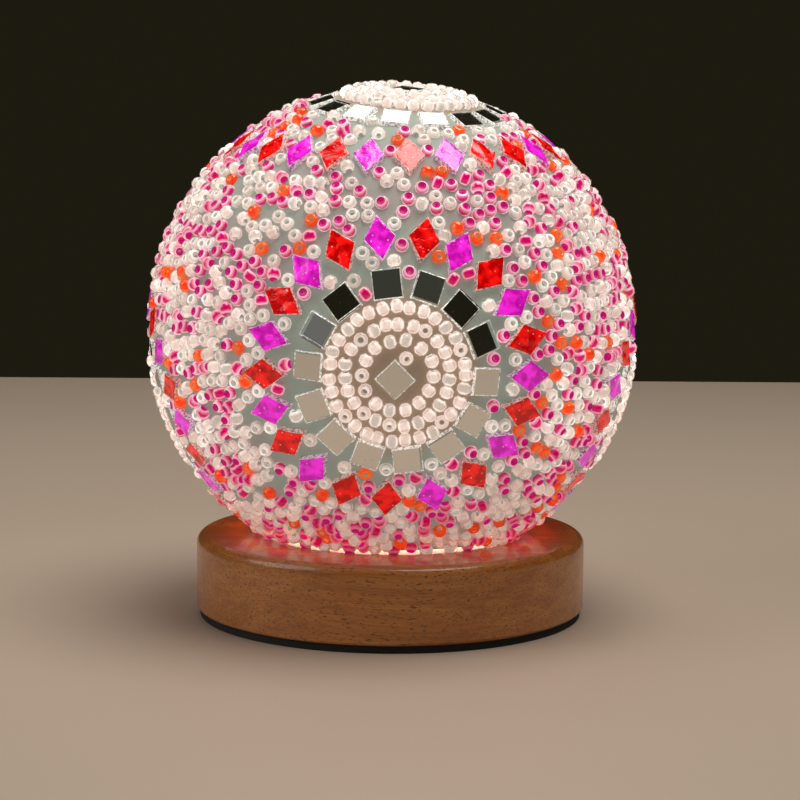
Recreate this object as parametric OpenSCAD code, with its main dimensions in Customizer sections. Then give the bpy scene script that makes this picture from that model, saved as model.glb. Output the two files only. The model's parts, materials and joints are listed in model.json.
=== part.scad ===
// Mosaic glass table lamp: a bead and tile covered glass globe that lies loose on a lit, turned wooden base.
// Origin at the centre of the foot, +Z up, the front medallion faces -Y, millimetres.

/* [Globe] */
// Outside diameter of the blown glass globe
glass_d = 142.5; // [120:0.5:190]
// Wall of the glass globe
glass_t = 2.8; // [2:0.1:4]
// Outside diameter of the ground rim that the globe stands on
rim_d = 61.4; // [50:0.2:70]
// Thickness of the grout bed that holds the beads and tiles
grout_t = 0.7; // [0.4:0.1:1.5]
// Thickness of the layer of loose-laid beads between the medallions
bead_layer_t = 3.1; // [2.4:0.1:4]

/* [Beads and tiles] */
// Diameter of one glass bead
bead_d = 3.7; // [3:0.1:4.2]
// Length of one glass bead
bead_len = 3.1; // [2:0.1:3.3]
// Diameter of the threading hole in a bead
bead_hole = 1.1; // [0.6:0.1:1.6]
// Side of a square mirror tile
mirror_side = 8.4; // [6:0.2:9]
// Thickness of a mirror tile
mirror_t = 2; // [1.5:0.1:3]
// Length of a diamond tile, across its long corners
diamond_l = 14; // [10:0.5:14.5]
// Width of a diamond tile, across its short corners
diamond_w = 9.4; // [7:0.2:9.6]
// Thickness of a diamond tile
diamond_t = 2.6; // [2:0.1:3.5]

/* [Side medallions] */
// Angle from a medallion's middle to its ring of mirror tiles
mirror_angle = 19.6; // [19:0.2:21]
// Angle from a medallion's middle to its ring of diamonds
diamond_angle = 29.6; // [29.2:0.2:30.6]
// Least gap between the inner corners of neighbouring mirror tiles, which sets how many there are
mirror_gap = 0.6; // [0.4:0.1:3]
// Least gap between neighbouring diamonds, which sets how many there are
diamond_gap = 1.1; // [0.6:0.1:3]
// Gap between one ring of beads and the next
ring_gap = 0.7; // [0.5:0.1:2]

/* [Top medallion] */
// Angle from the middle to the ring of mirror tiles
top_mirror_angle = 21; // [20.6:0.2:22]
// Angle from the middle to the ring of diamonds
top_diamond_angle = 39.5; // [38:0.5:40]

/* [Wooden base] */
// Diameter of the turned base
base_d = 120; // [116:1:160]
// Height of the wood
base_h = 22.8; // [22:0.2:34]
// Radius of the rounded top edge
top_round = 3; // [1:0.5:4]
// Radius of the rounded bottom edge
bottom_round = 1; // [0.5:0.25:1.5]
// Depth of the recess that the globe stands in
seat_depth = 3; // [2.6:0.1:4]
// Gap between the glass rim and the wall of that recess
seat_clear = 5.8; // [5:0.1:8]
// Height of the battery room above the bottom cover
room_h = 8.4; // [8:0.1:9]
// Diameter of the battery room
room_d = 84; // [76:1:86]
// Wood left between the battery room and the light well
web_t = 2.4; // [2:0.1:3]

/* [Foot and cover] */
// Thickness of the foam foot
foot_t = 2.2; // [1.5:0.1:4]
// How far the foam foot stands in from the wood
foot_inset = 1; // [0:0.5:4]
// Thickness of the bottom cover
cover_t = 2; // [1.5:0.1:3]
// Diameter of the recess for the bottom cover
cover_d = 104; // [102:1:106]

/* [Light] */
// How far the seat ring reaches in under the glass, from the outside of the rim
rim_land = 6.7; // [5:0.1:8]
// Thickness of the frosted diffuser
diffuser_t = 2; // [1.5:0.1:2.4]
// Width of the ledge that holds the diffuser
ledge_w = 2.5; // [1.5:0.1:3]
// Thickness of the aluminium light board
light_board_t = 1.6; // [1:0.1:2]
// Thickness of the seat ring under the glass rim
ring_t = 1.5; // [1:0.1:1.8]
// Height of the seat ring's outer lip above the floor of its recess
lip_h = 2.6; // [2.2:0.1:2.6]

/* [Controls] */
// Width of the rear plate
plate_w = 40; // [38:1:44]
// Height of the rear plate
plate_h = 12; // [11:0.5:13]
// Thickness of the rear plate
plate_t = 1.9; // [1.5:0.1:2.4]
// Travel of the push button
press = 1; // [0.5:0.1:1.2]
// Diameter of the push button
button_d = 7; // [6:0.5:7.5]

/* [Clearances] */
// Gap between a loose piece and the pocket that it lies in
fit_gap = 0.3; // [0.2:0.05:0.5]
// Gap between the button and its hole, on the radius
run_gap = 0.1; // [0.05:0.01:0.15]
// Adhesive line between surfaces that are glued together
bond = 0.05; // [0.02:0.01:0.1]

/* [Hidden] */
$fn = 96;
cut = 0.5;                                   // how far a cutter runs past the face that it opens

// Levels, from the table up
wood_z = foot_t;
wood_top = foot_t + base_h;
room_z = wood_z + cover_t;
web_z = room_z + room_h;
well_z = web_z + web_t;
seat_z = wood_top - seat_depth;
ledge_z = seat_z - diffuser_t - bond * 4;
rim_z = seat_z + ring_t;

// Globe
glass_r = glass_d / 2;
centre_z = rim_z + sqrt(glass_r * glass_r - rim_d * rim_d / 4);
grout_in = glass_r + bond;
bed_r = grout_in + grout_t;
lay_r = bed_r + bond / 2;
skin_r = bed_r + bond;
grout_foot = wood_top + fit_gap * 2;
skin_foot = wood_top + fit_gap * 3;

// Medallions: latitude and longitude of the middle, where longitude 0 is the front and +90 is +X
front_at = [-6, 1.4];
left_at = [-20, -92];
right_at = [-20, 93];
back_at = [-6, 180];
top_disc_at = [79, 20];
top_star_at = [84, 4];
spread = 6;                                  // how far the bottom and top cutters reach past the globe

// Turn of each hand-laid tile of the front medallion about its middle, anticlockwise from +X
front_mirror_turns = [97, 71, 46, 22, -6, -32, -56.5, -83, -109, -133, -158, 176, 152, 128];
front_diamond_turns = [98, 79, 63, 47, 31, 13.5, -2.5, -18.5, -36, -54, -74, -94, -112, -129.5, -146, -162,
    -178, 165.5, 149, 132.5, 115.5];
first_turn = 98;                             // turn of the tile that is laid first
red_pair = 12;                               // where two reds meet in a ring with an odd number of diamonds
centre_tile_shift = [-0.8, -1.2];
centre_tile_turn = 45;
disc_inner = mirror_side / sqrt(2) + norm(centre_tile_shift) + bead_d / 2 + fit_gap;
disc_step = bead_d + ring_gap;
ring_lag = 11;                               // turn from one ring of beads to the next

// Wood pockets and what lies in them
seat_d = rim_d + 2 * seat_clear;
seat_lip_t = 1.3;
seat_ring_d = seat_d - fit_gap * 2;
seat_ring_in = rim_d - 2 * rim_land;
ledge_d = seat_ring_in + 3;
well_d = ledge_d - 2 * ledge_w;
light_board_d = well_d - fit_gap * 3;
board_screw_r = well_d / 2 - 4;
board_screw_d = 2.3;
board_head = [4.4, 1.5];                     // diameter and height
board_screw_turns = [30:120:270];
cover_screw_r = (room_d + cover_d) / 4;
cover_screw_d = 2.9;
cover_head_d = 5.4;
cover_screw_len = 9;
cover_screw_turns = [45:90:315];
plate_screw_len = 6;
plate_screw_d = 2;
plate_head_d = 3.2;
lead_d = 1.4;
lead_pitch = 2.2;
lead_hole_y = well_d / 2 - 3;
lead_hole_d = 5.2;
led_case = [2.8, 3.5, 0.6];
led_dot_d = 2.2;
led_dot_h = 0.8;
led_rings = [[4, board_screw_r * 0.34], [8, board_screw_r * 0.71]];   // number of lights and radius

// Battery
cell = [50, 34, 6];
cell_y = -7;
tape = [40, 24, 0.8];
cell_edge = 1.5;
socket = [5.6, 4, 2.8];

// Controls at the back
plate_z = wood_z + 9.8;
plate_r = base_d / 2;
slot_w = plate_w - 8;
slot_h = plate_h - 2;
slot_y = 35;
tray_t = 1.2;
tray_z = plate_z - slot_h / 2 + fit_gap;
tray_w = slot_w - 3;
tray_y = 33;
control_t = 1.2;
control_z = tray_z + tray_t;
control_top = control_z + control_t;
control_w = tray_w - 1;
control_end = sqrt(pow(plate_r - plate_t, 2) - control_w * control_w / 4) - fit_gap;
socket_y = tray_y + 2;
control_screw_x = 12;
control_screw_y = tray_y + 3;
control_screw_d = 1.6;
control_head = [3, 1.1];                     // diameter and height
socket_x = -(control_screw_x - control_head[0] / 2 - fit_gap - socket[0] / 2);
usb = [8.94, 7.3, 3.2];
usb_wall = 0.3;
usb_x = -6;
usb_front = base_d / 2 - 1.7;
usb_z = control_top + usb[2] / 2;
tongue = [6.6, usb[1] - 1.2, 0.7];
button_x = 7;
button_z = control_top + 2.4;
button_front = base_d / 2 + 1.6;
button_round = 0.8;
flange_y = base_d / 2 - 3.4;
flange_t = 1;
flange_d = button_d + 1.2;
notch_y = flange_y - flange_t - press - fit_gap;
stem_d = 4;
plunger_d = 3;
plunger_reach = 2;
plunger_front = base_d / 2 - 7.7;
switch_back = plunger_front - 6;
switch_front = plunger_front - press - fit_gap;
switch_w = 6;
switch_h = 4.6;
lamp_x = 12.8;
lamp_d = 2;
lamp_len = 3;
plate_screw_in = plate_head_d / 2 + 0.4;
plate_screw_turn = asin((plate_w / 2 - plate_screw_in) / plate_r);
// Place on the board, from its middle and its inner end, and size of each small part
board_chips = [[-6, 12, [5, 4, 1.5]], [1, 11, [4, 4, 2.2]], [6.5, 9.5, [2.6, 1.6, 1]],
    [10.5, 10.5, [1.6, 2.6, 1]], [lamp_x - 0.6, 20, [1.6, 1.2, 0.8]]];

// ---- Shared shapes ----

// Turns local +Z to the outward direction at a latitude and longitude of the globe
module at_globe(at) {
    translate([0, 0, centre_z])
        rotate([0, 0, at[1]])
            rotate([90 - at[0], 0, 0])
                children();
}

// Puts a piece at an angle from a medallion's middle, at a turn round it, with local +Y pointing outwards
module round_medallion(angle, turn) {
    rotate([0, 0, turn - 90])
        rotate([-angle, 0, 0])
            translate([0, 0, lay_r])
                children();
}

// A disc with rounded top and bottom edges
module rounded_disc(d, h, top_r, bottom_r) {
    rotate_extrude()
        union() {
            square([d / 2 - top_r, h]);
            translate([0, bottom_r])
                square([d / 2, h - top_r - bottom_r]);
            square([d / 2 - bottom_r, h - top_r]);
            translate([d / 2 - top_r, h - top_r])
                circle(top_r);
            translate([d / 2 - bottom_r, bottom_r])
                circle(bottom_r);
        }
}

// A box that stands on z = 0, centred on x and y
module slab(size) {
    translate([0, 0, size[2] / 2])
        cube(size, center = true);
}

// A bar along Y with a stadium outline, centred on its axis, from y = 0 to y = len
module stadium_bar(w, h, len) {
    translate([0, len, 0])
        rotate([90, 0, 0]) {
            cylinder(h = len, d = h);
            translate([-(w - h) / 2, 0, 0])
                cylinder(h = len, d = h);
            translate([(w - h) / 2, 0, 0])
                cylinder(h = len, d = h);
            translate([-(w - h) / 2, -h / 2, 0])
                cube([w - h, h, len]);
        }
}

// The cross that a screwdriver turns, cut down from z = 0
module cross_slot(d, deep) {
    for (turn = [0, 90])
        rotate([0, 0, turn])
            translate([0, 0, -deep / 2])
                cube([d, d / 4, deep + bond], center = true);
}

// A countersunk screw, its head's face at z = 0 and its shank down -Z
module flat_screw(head_d, shank_d, len) {
    head_h = (head_d - shank_d) / 2;
    difference() {
        union() {
            translate([0, 0, -head_h])
                cylinder(h = head_h, d1 = shank_d, d2 = head_d);
            translate([0, 0, -len])
                cylinder(h = len - head_h / 2, d = shank_d);
        }
        cross_slot(head_d * 0.6, head_h * 0.6);
    }
}

// The hole for a countersunk screw, with a gap all round
module flat_screw_hole(head_d, shank_d, len) {
    head_h = (head_d - shank_d) / 2;
    wide = fit_gap;
    translate([0, 0, -head_h])
        cylinder(h = head_h, d1 = shank_d + wide, d2 = head_d + wide);
    translate([0, 0, -bond])
        cylinder(h = cut, d = head_d + wide);
    translate([0, 0, -len - wide])
        cylinder(h = len + wide, d = shank_d + wide / 2);
}

// A pan-head screw, its head standing on z = 0 and its shank down -Z
module pan_screw(head_d, head_h, shank_d, len) {
    difference() {
        union() {
            rounded_disc(head_d, head_h, head_h / 2, bond);
            translate([0, 0, -len])
                cylinder(h = len + head_h / 2, d = shank_d);
        }
        translate([0, 0, head_h])
            cross_slot(head_d * 0.6, head_h * 0.5);
    }
}

// A round wire through the points given, with a ball at each corner
module wire(points) {
    for (i = [0:len(points) - 2]) {
        step = points[i + 1] - points[i];
        reach = norm(step);
        translate(points[i])
            rotate([0, acos(step[2] / reach), atan2(step[1], step[0])])
                cylinder(h = reach, d = lead_d);
    }
    for (i = [1:1:len(points) - 2])
        translate(points[i])
            sphere(d = lead_d);
}

// Puts a screw at the back face of the base, its head outwards
module at_plate_screw(side) {
    translate([0, 0, plate_z])
        rotate([0, 0, -side * plate_screw_turn])
            translate([0, plate_r - bond, 0])
                rotate([-90, 0, 0])
                    children();
}

// ---- Medallion pieces ----

// A square mirror tile that stands on z = 0
module mirror_tile() {
    slab([mirror_side, mirror_side, mirror_t]);
}

// A diamond tile that stands on z = 0, long along Y
module diamond_tile() {
    linear_extrude(diamond_t)
        polygon([[0, diamond_l / 2], [diamond_w / 2, 0], [0, -diamond_l / 2], [-diamond_w / 2, 0]]);
}

// A bead that lies on its side on z = 0, its hole along X
module side_bead() {
    translate([0, 0, bead_d / 2])
        rotate([0, 90, 0])
            difference() {
                cylinder(h = bead_len, d = bead_d, center = true, $fn = 32);
                cylinder(h = bead_len + 2 * cut, d = bead_hole, center = true, $fn = 24);
            }
}

// How far a square or a diamond ring's narrowest pitch circle is from the medallion's axis
function square_ring_r(angle) = lay_r * sin(angle) - mirror_side / 2 * cos(angle);
function diamond_ring_r(angle) = lay_r * sin(angle);

// Evenly spaced turns of as many tiles as fit, each with a hand-laid error that keeps neighbours apart
function even_turns(ring_r, wide, gap, seed) =
    let (count = floor(2 * PI * ring_r / (wide + gap)))
    let (slack = 180 / count - atan((wide + fit_gap) / 2 / ring_r))
    let (error = rands(-slack, slack, count, seed))
    [for (i = [0:count - 1]) first_turn - i * 360 / count + error[i]];

// The turns listed by hand if they are as many as fit, or else evenly spaced ones
function hand_turns(listed, ring_r, wide, gap, seed) =
    let (even = even_turns(ring_r, wide, gap, seed))
    len(even) == len(listed) ? listed : even;

// Diamonds alternate pink and red, and where an odd number closes the ring two reds meet
function is_red(i, count) = (i + (count % 2 == 1 && i >= red_pair ? 1 : 0)) % 2 == 1;

// The ring of mirror tiles and the tile in the middle
module mirrors(at, angle, turns) {
    color([0.72, 0.72, 0.7])
        at_globe(at) {
            for (turn = turns)
                round_medallion(angle, turn)
                    mirror_tile();
            rotate([-asin(centre_tile_shift[1] / lay_r), asin(centre_tile_shift[0] / lay_r), 0])
                translate([0, 0, lay_r])
                    rotate([0, 0, centre_tile_turn])
                        mirror_tile();
        }
}

// The red or the pink diamonds of one ring
module diamonds(at, angle, turns, red) {
    color(red ? [0.86, 0.05, 0.05] : [0.88, 0.12, 0.78])
        at_globe(at)
            for (i = [0:len(turns) - 1])
                if (is_red(i, len(turns)) == red)
                    round_medallion(angle, turns[i])
                        diamond_tile();
}

// The rings of beads inside the mirror tiles that stand at an angle from the middle
module bead_disc(at, angle) {
    disc_room = lay_r * angle * PI / 180 - mirror_side / 2 - bead_d / 2 - disc_inner;
    color([0.96, 0.92, 0.88])
        at_globe(at)
            for (ring = [0:floor(disc_room / disc_step)]) {
                ring_r = disc_inner + ring * disc_step;
                count = floor(2 * PI * (ring_r - bead_d / 2) / (bead_len + fit_gap / 2));
                for (i = [0:count - 1])
                    round_medallion(ring_r / bed_r * 180 / PI, i * 360 / count + ring * ring_lag)
                        side_bead();
            }
}

// The opening in the bead layer round one medallion
module medallion_window(at, angle) {
    window_r = (lay_r + diamond_t) * sin(angle) + diamond_l / 2 * cos(angle) + fit_gap;
    at_globe(at)
        translate([0, 0, bed_r * cos(angle) - diamond_l])
            cylinder(h = glass_r, r = window_r);
}

// ---- Globe ----

module glass_shade() {
    color([0.93, 0.95, 0.94, 0.5])
        difference() {
            translate([0, 0, centre_z])
                sphere(glass_r);
            translate([0, 0, centre_z])
                sphere(glass_r - glass_t);
            translate([0, 0, rim_z - glass_d / 2])
                cube([glass_d, glass_d, glass_d], center = true);
        }
}

// A thin round shell on the globe, cut off level with its foot
module globe_layer(inside, outside, foot) {
    wide = 2 * outside + spread;
    difference() {
        translate([0, 0, centre_z])
            sphere(outside);
        translate([0, 0, centre_z])
            sphere(inside);
        translate([0, 0, foot - wide / 2])
            cube([wide, wide, wide], center = true);
    }
}

module grout_bed() {
    color([0.6, 0.59, 0.56])
        globe_layer(grout_in, bed_r, grout_foot);
}

module bead_field() {
    color([0.95, 0.72, 0.78])
        difference() {
            globe_layer(skin_r, skin_r + bead_layer_t, skin_foot);
            medallion_window(front_at, diamond_angle);
            medallion_window(left_at, diamond_angle);
            medallion_window(right_at, diamond_angle);
            medallion_window(back_at, diamond_angle);
            medallion_window(top_star_at, top_diamond_angle);
        }
}

// ---- Wooden base ----

// The shape cut out of the wood for the rear plate, or with no gap the plate's own outline
module plate_outline(gap) {
    translate([0, 0, plate_z])
        stadium_bar(plate_w + 2 * gap, plate_h + 2 * gap, plate_r + cut);
}

module wood_base() {
    color([0.72, 0.52, 0.33])
        difference() {
            translate([0, 0, wood_z])
                rounded_disc(base_d, base_h, top_round, bottom_round);
            // seat, ledge and light well
            translate([0, 0, seat_z])
                cylinder(h = seat_depth + cut, d = seat_d);
            translate([0, 0, ledge_z])
                cylinder(h = wood_top - ledge_z, d = ledge_d);
            translate([0, 0, well_z])
                cylinder(h = wood_top - well_z, d = well_d);
            // cover recess and battery room
            translate([0, 0, wood_z - cut])
                cylinder(h = cover_t + cut, d = cover_d);
            translate([0, 0, wood_z])
                cylinder(h = cover_t + room_h, d = room_d);
            // rear pocket, and the slot in from it to the battery room
            difference() {
                plate_outline(fit_gap / 2);
                cylinder(h = wood_top, r = plate_r - plate_t - fit_gap);
            }
            translate([-slot_w / 2, slot_y, plate_z - slot_h / 2])
                cube([slot_w, plate_r - slot_y, slot_h]);
            // leads to the light board
            translate([0, lead_hole_y, web_z - cut])
                cylinder(h = web_t + 2 * cut, d = lead_hole_d);
            // screws
            for (turn = board_screw_turns)
                rotate([0, 0, turn])
                    translate([board_screw_r, 0, web_z + fit_gap])
                        cylinder(h = web_t, d = board_screw_d + fit_gap / 2);
            for (turn = cover_screw_turns)
                rotate([0, 0, turn])
                    translate([cover_screw_r, 0, wood_z])
                        cylinder(h = cover_screw_len + fit_gap, d = cover_screw_d + fit_gap / 2);
            for (side = [-1, 1])
                at_plate_screw(side)
                    translate([0, 0, -plate_screw_len - fit_gap])
                        cylinder(h = plate_screw_len, d = plate_screw_d + fit_gap / 2);
        }
}

module foot_pad() {
    color([0.05, 0.05, 0.05])
        cylinder(h = foot_t, d = base_d - 2 * foot_inset);
}

module bottom_cover() {
    color([0.12, 0.12, 0.12])
        difference() {
            translate([0, 0, wood_z])
                cylinder(h = cover_t, d = cover_d - 2 * fit_gap);
            for (turn = cover_screw_turns)
                rotate([0, 0, turn])
                    translate([cover_screw_r, 0, wood_z + bond])
                        rotate([180, 0, 0])
                            flat_screw_hole(cover_head_d, cover_screw_d, cover_t + cut);
        }
}

module cover_screws() {
    color([0.7, 0.7, 0.68])
        for (turn = cover_screw_turns)
            rotate([0, 0, turn])
                translate([cover_screw_r, 0, wood_z + bond])
                    rotate([180, 0, 0])
                        flat_screw(cover_head_d, cover_screw_d, cover_screw_len);
}

// ---- Light ----

module led_board() {
    color([0.92, 0.92, 0.9])
        difference() {
            translate([0, 0, well_z])
                cylinder(h = light_board_t, d = light_board_d);
            translate([0, lead_hole_y, well_z - cut])
                cylinder(h = light_board_t + 2 * cut, d = lead_hole_d);
            translate([-lead_hole_d / 2, lead_hole_y, well_z - cut])
                cube([lead_hole_d, light_board_d, light_board_t + 2 * cut]);
            for (turn = board_screw_turns)
                rotate([0, 0, turn])
                    translate([board_screw_r, 0, well_z - cut])
                        cylinder(h = light_board_t + 2 * cut, d = board_screw_d + fit_gap);
        }
}

// The lights, each a white case with a patch of phosphor on it
module led_chips() {
    color([1, 0.93, 0.6])
        translate([0, 0, well_z + light_board_t])
            for (ring = led_rings)
                for (i = [0:ring[0] - 1])
                    rotate([0, 0, (i + 0.5) * 360 / ring[0]])
                        translate([ring[1], 0, 0]) {
                            slab(led_case);
                            cylinder(h = led_dot_h, d = led_dot_d);
                        }
}

module board_screws() {
    color([0.75, 0.75, 0.72])
        for (turn = board_screw_turns)
            rotate([0, 0, turn])
                translate([board_screw_r, 0, well_z + light_board_t])
                    pan_screw(board_head[0], board_head[1], board_screw_d, light_board_t + web_t - cut);
}

module led_leads() {
    low = control_top + lead_d / 2;
    high = well_z + light_board_t + lead_d / 2;
    color([0.75, 0.1, 0.1])
        for (side = [-1, 1])
            translate([side * lead_pitch / 2, 0, 0])
                wire([[0, tray_y + 5, low], [0, lead_hole_y, low],
                    [0, lead_hole_y, high], [0, lead_hole_y - 3.4, high]]);
}

module diffuser() {
    color([0.97, 0.95, 0.9])
        translate([0, 0, ledge_z + bond])
            cylinder(h = diffuser_t, d = ledge_d - 2 * fit_gap);
}

module seat_ring() {
    color([0.85, 0.83, 0.8])
        translate([0, 0, seat_z + bond])
            difference() {
                cylinder(h = lip_h - bond, d = seat_ring_d);
                translate([0, 0, -cut])
                    cylinder(h = seat_depth + 2 * cut, d = seat_ring_in);
                translate([0, 0, ring_t - bond])
                    cylinder(h = seat_depth, d = seat_ring_d - 2 * seat_lip_t);
            }
}

// ---- Battery ----

module battery_tape() {
    color([0.9, 0.9, 0.88])
        translate([0, cell_y, room_z])
            slab(tape);
}

module battery_cell() {
    color([0.78, 0.78, 0.8])
        translate([0, cell_y, room_z + tape[2]]) {
            slab([cell[0] - 2 * cell_edge, cell[1], cell[2]]);
            slab([cell[0], cell[1] - 2 * cell_edge, cell[2]]);
            for (sx = [-1, 1])
                for (sy = [-1, 1])
                    translate([sx * (cell[0] / 2 - cell_edge), sy * (cell[1] / 2 - cell_edge), 0])
                        cylinder(h = cell[2], r = cell_edge);
        }
}

module battery_leads() {
    low = room_z + tape[2] + cell[2] / 2;
    high = control_top + socket[2] / 2;
    start_y = cell_y + cell[1] / 2;
    rise_y = (start_y + tray_y) / 2;
    color([0.1, 0.1, 0.1])
        for (side = [-1, 1])
            translate([socket_x + side * lead_pitch / 2, 0, 0])
                wire([[0, start_y, low], [0, rise_y, low], [0, rise_y, high], [0, socket_y, high]]);
}

module battery_socket() {
    color([0.93, 0.92, 0.88])
        translate([socket_x, socket_y + socket[1] / 2, control_top])
            slab(socket);
}

// ---- Controls ----

// The cut that lets the button's flange travel past the edge of the tray and the board
module flange_notch() {
    translate([button_x - flange_d / 2 - fit_gap, notch_y, tray_z - cut])
        cube([flange_d + 2 * fit_gap, plate_r, plate_h]);
}

module rear_plate() {
    color([0.08, 0.08, 0.08])
        difference() {
            union() {
                difference() {
                    intersection() {
                        plate_outline(0);
                        cylinder(h = wood_top, r = plate_r);
                    }
                    cylinder(h = wood_top, r = plate_r - plate_t);
                }
                difference() {
                    translate([-tray_w / 2, tray_y, tray_z])
                        cube([tray_w, plate_r - plate_t - tray_y, tray_t]);
                    flange_notch();
                }
            }
            translate([usb_x, plate_r - 3 * plate_t, usb_z])
                stadium_bar(usb[0] + 2 * fit_gap, usb[2] + 2 * fit_gap, 4 * plate_t);
            translate([button_x, plate_r + cut, button_z])
                rotate([90, 0, 0])
                    cylinder(h = 3 * plate_t, d = button_d + 2 * run_gap);
            translate([lamp_x, plate_r + cut, plate_z])
                rotate([90, 0, 0])
                    cylinder(h = 4 * plate_t, d = lamp_d + run_gap);
            for (side = [-1, 1])
                at_plate_screw(side)
                    flat_screw_hole(plate_head_d, plate_screw_d, plate_screw_len);
            for (side = [-1, 1])
                translate([side * control_screw_x, control_screw_y, tray_z - cut])
                    cylinder(h = tray_t + 2 * cut, d = control_screw_d + fit_gap / 2);
        }
}

module plate_screws() {
    color([0.25, 0.25, 0.25])
        for (side = [-1, 1])
            at_plate_screw(side)
                flat_screw(plate_head_d, plate_screw_d, plate_screw_len);
}

module control_board() {
    color([0.05, 0.35, 0.15])
        difference() {
            translate([-control_w / 2, tray_y + cut, control_z])
                cube([control_w, control_end - tray_y - cut, control_t]);
            for (side = [-1, 1])
                translate([side * control_screw_x, control_screw_y, control_z - cut])
                    cylinder(h = control_t + 2 * cut, d = control_screw_d + fit_gap);
            flange_notch();
        }
}

module control_screws() {
    color([0.75, 0.75, 0.72])
        for (side = [-1, 1])
            translate([side * control_screw_x, control_screw_y, control_top])
                pan_screw(control_head[0], control_head[1], control_screw_d, tray_t + control_t - bond);
}

// Charger, coil, two capacitors and the charging lamp
module control_chips() {
    color([0.1, 0.1, 0.1])
        for (chip = board_chips)
            translate([chip[0], tray_y + chip[1], control_top])
                slab(chip[2]);
}

module usb_shell() {
    color([0.75, 0.75, 0.75])
        translate([usb_x, usb_front - usb[1], usb_z])
            difference() {
                stadium_bar(usb[0], usb[2], usb[1]);
                translate([0, usb_wall, 0])
                    stadium_bar(usb[0] - 2 * usb_wall, usb[2] - 2 * usb_wall, usb[1]);
            }
}

module usb_tongue() {
    color([0.1, 0.1, 0.1])
        translate([usb_x, usb_front - usb[1] + usb_wall, usb_z])
            translate([-tongue[0] / 2, 0, -tongue[2] / 2])
                cube(tongue);
}

module switch_body() {
    color([0.2, 0.2, 0.2])
        difference() {
            translate([button_x, (switch_back + switch_front) / 2, control_top])
                slab([switch_w, switch_front - switch_back, switch_h]);
            translate([button_x, switch_front + cut, button_z])
                rotate([90, 0, 0])
                    cylinder(h = press + plunger_reach + 2 * cut, d = plunger_d + run_gap);
        }
}

module button_plunger() {
    color([0.85, 0.85, 0.82])
        translate([button_x, plunger_front, button_z])
            rotate([90, 0, 0])
                cylinder(h = press + fit_gap + plunger_reach, d = plunger_d);
}

// The push button with the flange that keeps it behind the plate
module power_button() {
    color([0.15, 0.15, 0.15])
        translate([button_x, 0, button_z])
            rotate([-90, 0, 0]) {
                translate([0, 0, plunger_front])
                    cylinder(h = flange_y - plunger_front, d = stem_d);
                translate([0, 0, flange_y - flange_t])
                    cylinder(h = flange_t, d = flange_d);
                translate([0, 0, flange_y - cut])
                    rounded_disc(button_d, button_front - flange_y + cut, button_round, bond);
            }
}

module charge_light() {
    color([0.9, 0.95, 0.9])
        translate([lamp_x, plate_r * cos(asin(lamp_x / plate_r)), plate_z])
            rotate([90, 0, 0])
                cylinder(h = lamp_len, d = lamp_d);
}

// ---- Nodes ----

wood_base();
foot_pad();
bottom_cover();
cover_screws();
led_board();
led_chips();
board_screws();
led_leads();
diffuser();
seat_ring();
battery_cell();
battery_tape();
battery_leads();
battery_socket();
rear_plate();
plate_screws();
control_board();
control_screws();
control_chips();
usb_shell();
usb_tongue();
switch_body();
button_plunger();
power_button();
charge_light();
glass_shade();
grout_bed();
bead_field();

// The four nodes of one medallion: its mirrors and beads at one place, its diamonds at another
module medallion(name, at, star_at, angles, mirror_turns, diamond_turns) {
    mirrors(at, angles[0], mirror_turns);
    diamonds(star_at, angles[1], diamond_turns, true);
    diamonds(star_at, angles[1], diamond_turns, false);
    bead_disc(at, angles[0]);
}

// A medallion on the side of the globe, with its tiles listed by hand or evenly spaced
module side_medallion(name, at, mirror_list, diamond_list, seed) {
    medallion(name, at, at, [mirror_angle, diamond_angle],
        hand_turns(mirror_list, square_ring_r(mirror_angle), mirror_side, mirror_gap, seed),
        hand_turns(diamond_list, diamond_ring_r(diamond_angle), diamond_w, diamond_gap, seed + 1));
}

side_medallion("front", front_at, front_mirror_turns, front_diamond_turns, 1);
side_medallion("left", left_at, [], [], 3);
side_medallion("right", right_at, [], [], 5);
side_medallion("back", back_at, [], [], 7);
medallion("top", top_disc_at, top_star_at, [top_mirror_angle, top_diamond_angle],
    even_turns(square_ring_r(top_mirror_angle), mirror_side, mirror_gap, 9),
    even_turns(diamond_ring_r(top_diamond_angle), diamond_w, diamond_gap, 10));
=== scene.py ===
"""Looks of the mosaic glass table lamp: beads, tiles, grout, glass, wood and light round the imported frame."""

import json
import logging
import math
from dataclasses import dataclass, field
from enum import Enum
from typing import Sequence, Union

import bmesh
import bpy
import numpy as np
from mathutils import Matrix, Vector, noise

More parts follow.
